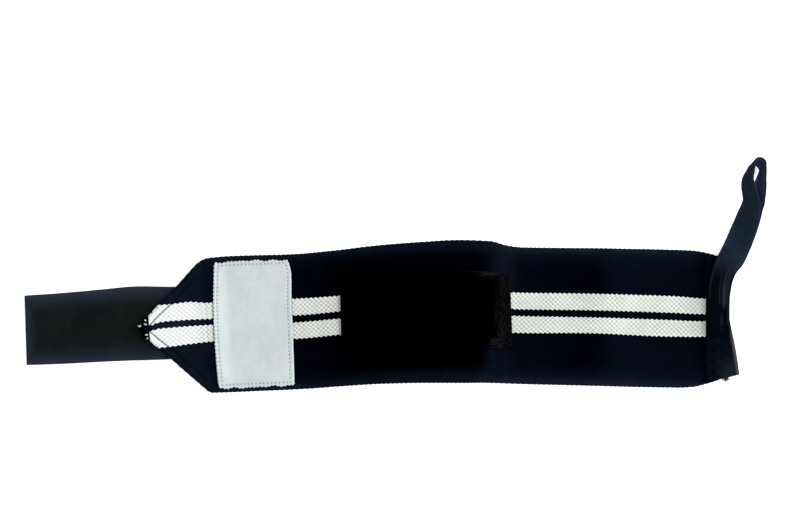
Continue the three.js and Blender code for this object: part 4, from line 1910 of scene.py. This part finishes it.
    def pleat(self, place: Array, offset: Array) -> Array:
        """Height of the pleats, from 0 to 1: a ridge for each row of their table, fading at its ends.

        Args:
            place: Places along the legs, counted in the table's rows.
            offset: Offsets across the tape.

        Returns:
            The highest ridge at each place.
        """
        ridges = np.zeros(np.broadcast_shapes(place.shape, offset.shape))
        for at, width, strength, start, end in zip(*self.pleats.columns.values()):
            window = ease(place, start, start + self.pleat_start) * ease(place, end, end - self.pleat_end)
            ridges = np.maximum(ridges, strength * window * ridge(offset - at, width))
        return ridges

    def make_tape(self) -> bpy.types.Object:
        """Flat sections square to the route, with ribbed faces, firm selvedges and pleats near the sewn end.

        Returns:
            The tape, with painted highlights on its pleats, painted shade near its sewn base, and painted
            blue light where it is turned over and along the upper leg's rims.
        """
        centre, heading, across, place = self.route()
        half = self.rows.read("width", place) / 2
        offset, side = self.grid.ring(-half, half, np.full(len(half), self.edge_round))
        run = np.concatenate([[0], np.cumsum(np.linalg.norm(np.diff(centre, axis=0), axis=1))])[:, None]
        inside, place = half[:, None] - np.abs(offset), place[:, None]
        upper = np.arange(len(place))[:, None] < self.leg_stations
        pleat = self.pleat(place, offset + self.pleat_sway * np.sin(run / self.sway_run)) * upper
        selvedge = self.selvedge_range(inside)
        ribs = self.rib_height * wave(run, self.rib_along) * wave(offset, self.rib_across)
        thick = self.thickness / 2 - self.web_drop + self.selvedge_rise * selvedge + ribs * (1 - selvedge)
        thick = thick * (self.end_thinness + (1 - self.end_thinness) * self.end_range(place))
        lift = side * thick + np.maximum(side, 0) * self.pleat_rise * pleat
        face = np.cross(heading, across)
        points = centre[:, None] + across[:, None] * offset[..., None] + face[:, None] * lift[..., None]
        painted_base_shade = self.painted_base_shade_range(place)
        plain = self.selvedge_painted_light * selvedge + unevenness(self.mottle, run, offset)
        turned = self.turned_painted_light * self.turned_range(place) * ~upper
        rim = self.rim_painted_glow * self.rim_start(place) * self.rim_end(place) * upper * self.rim_edge(inside)
        # Painted highlights on the pleats and selvedges with a random mottle, painted shade near the sewn
        # base, and painted blue light on the turn.
        marks = {
            "light": np.clip(self.pleat_painted_highlight * pleat + plain * (1 - painted_base_shade), 0, 1),
            "painted_dark": np.broadcast_to(self.painted_base_shade * painted_base_shade, offset.shape),
            "painted_blue_light": turned * self.turned_face(side) * self.turned_edge(inside) + rim,
        }
        return loft("thumb_tape", points, marks, cloth_map(run, offset))

    def make_seam(self) -> bpy.types.Object:
        """Bar-tack rows that hold the legs on the binding: stitches across the upper leg.

        Returns:
            One object with both rows.
        """
        at, turn = stitch_run(self.tack_stitches, self.tack_cover)
        reach = (at / self.tack_stitches - 0.5) * self.tack_width
        rest = (self.rows.columns["spacing"][0] + self.thickness) / 2 - self.tack_sink
        height = np.broadcast_to(rest + self.tack_rise * stitch_arch(turn), reach.shape)
        middle, along, normal = (values[:, None, None] for values in self.stack(np.array(self.tack_rows)))
        rows = middle + np.cross(normal, along) * reach[..., None] + normal * height[..., None]
        paths = rows.reshape(-1, *rows.shape[-2:])
        shade = self.shop.draws.random(len(paths))
        return strands("thumb_seam", paths, self.tack_radius, marks={"shade": shade})

    def build(self) -> None:
        """Make and dress the loop's pieces."""
        tape = self.shop.dress(self.make_tape(), self.tape, Slot.THUMB, "thumb_loop")
        seam = self.shop.dress(self.make_seam(), self.thread, Slot.THUMB)


@dataclass
class Studio:
    """Pale floor, soft light and the overhead camera, in metres."""

    frame_width: float = 0.4432
    centre: tuple[float, float] = (0.0022, 0.00576)
    camera_height: float = 4.0
    sensor_mm: float = 36.0
    far_clip: float = 20.0
    floor_side: float = 6.0
    floor_drop: float = 0.00005
    floor_grain: tuple[float, float] = (3.0, 2)
    floor_tones: tuple[float, float] = (0.9, 0.92)
    floor_roughness: float = 0.9
    floor_glow: float = 0.55
    sky: float = 0.8
    key_power: float = 34.0
    key_size: float = 1.2
    key_place: tuple[float, float, float] = (1.5, 0.35, 1.1)

    def make_floor(self) -> None:
        """A wide pale sheet just under the object, with a faint unevenness in its tone."""
        half = self.floor_side / 2
        plan = np.array([[-half, -half], [half, -half], [half, half], [-half, half]])
        corners = np.column_stack([plan, np.full(4, -self.floor_drop)]) / MM
        floor = mesh_object("floor", corners, [np.arange(4)[None]])
        made, wires, shader = new_material("pale_floor")
        place = made.node_tree.nodes.new("ShaderNodeTexCoord").outputs["Object"]
        tones = ((tone, tone, tone, 1) for tone in self.floor_tones)
        wires.link(wires.mix(wires.noise(place, *self.floor_grain), *tones), shader["Base Color"])
        shader["Roughness"].default_value = self.floor_roughness
        shader["Specular IOR Level"].default_value = 0.0
        shader["Emission Color"].default_value = (1, 1, 1, 1)
        shader["Emission Strength"].default_value = self.floor_glow
        floor.data.materials.append(made)

    def make_light(self) -> None:
        """An even white surround and one wide soft lamp from the right."""
        scene = bpy.context.scene
        world = bpy.data.worlds.new("surround")
        world.use_nodes = True
        sky = world.node_tree.nodes["Background"].inputs
        sky["Color"].default_value = (1, 1, 1, 1)
        sky["Strength"].default_value = self.sky
        scene.world = world
        lamp = bpy.data.lights.new("key", "AREA")
        lamp.shape = "DISK"
        lamp.size = self.key_size
        lamp.energy = self.key_power
        key = bpy.data.objects.new("key", lamp)
        key.location = self.key_place
        key.rotation_euler = (-Vector(self.key_place)).to_track_quat("-Z", "Y").to_euler()
        key.visible_camera = False
        scene.collection.objects.link(key)
        scene.view_settings.view_transform = "Standard"

    def make_camera(self) -> None:
        """A long lens straight above, so that the frame's width on the floor is the photograph's."""
        data = bpy.data.cameras.new("camera")
        data.sensor_width = self.sensor_mm
        data.lens = self.sensor_mm * self.camera_height / self.frame_width
        data.clip_end = self.far_clip
        camera = bpy.data.objects.new("camera", data)
        camera.location = (*self.centre, self.camera_height)
        bpy.context.scene.collection.objects.link(camera)
        bpy.context.scene.camera = camera

    def build(self) -> None:
        """Make the floor, the light and the camera."""
        self.make_floor()
        self.make_light()
        self.make_camera()


def main() -> None:
    """Build the sub-assemblies in order, then the studio."""
    logging.basicConfig(level=logging.INFO, format="%(name)s %(message)s")
    shop = Workshop(NodeBook(), np.random.default_rng(SEED))
    form = BandForm()
    WrapBand(shop, form).build()
    HookTab(shop, form).build()
    LoopPatch(shop, form).build()
    Label(shop, form).build()
    EndBinding(shop).build()
    ThumbLoop(shop).build()
    Studio().build()


if __name__ == "__main__":
    main()
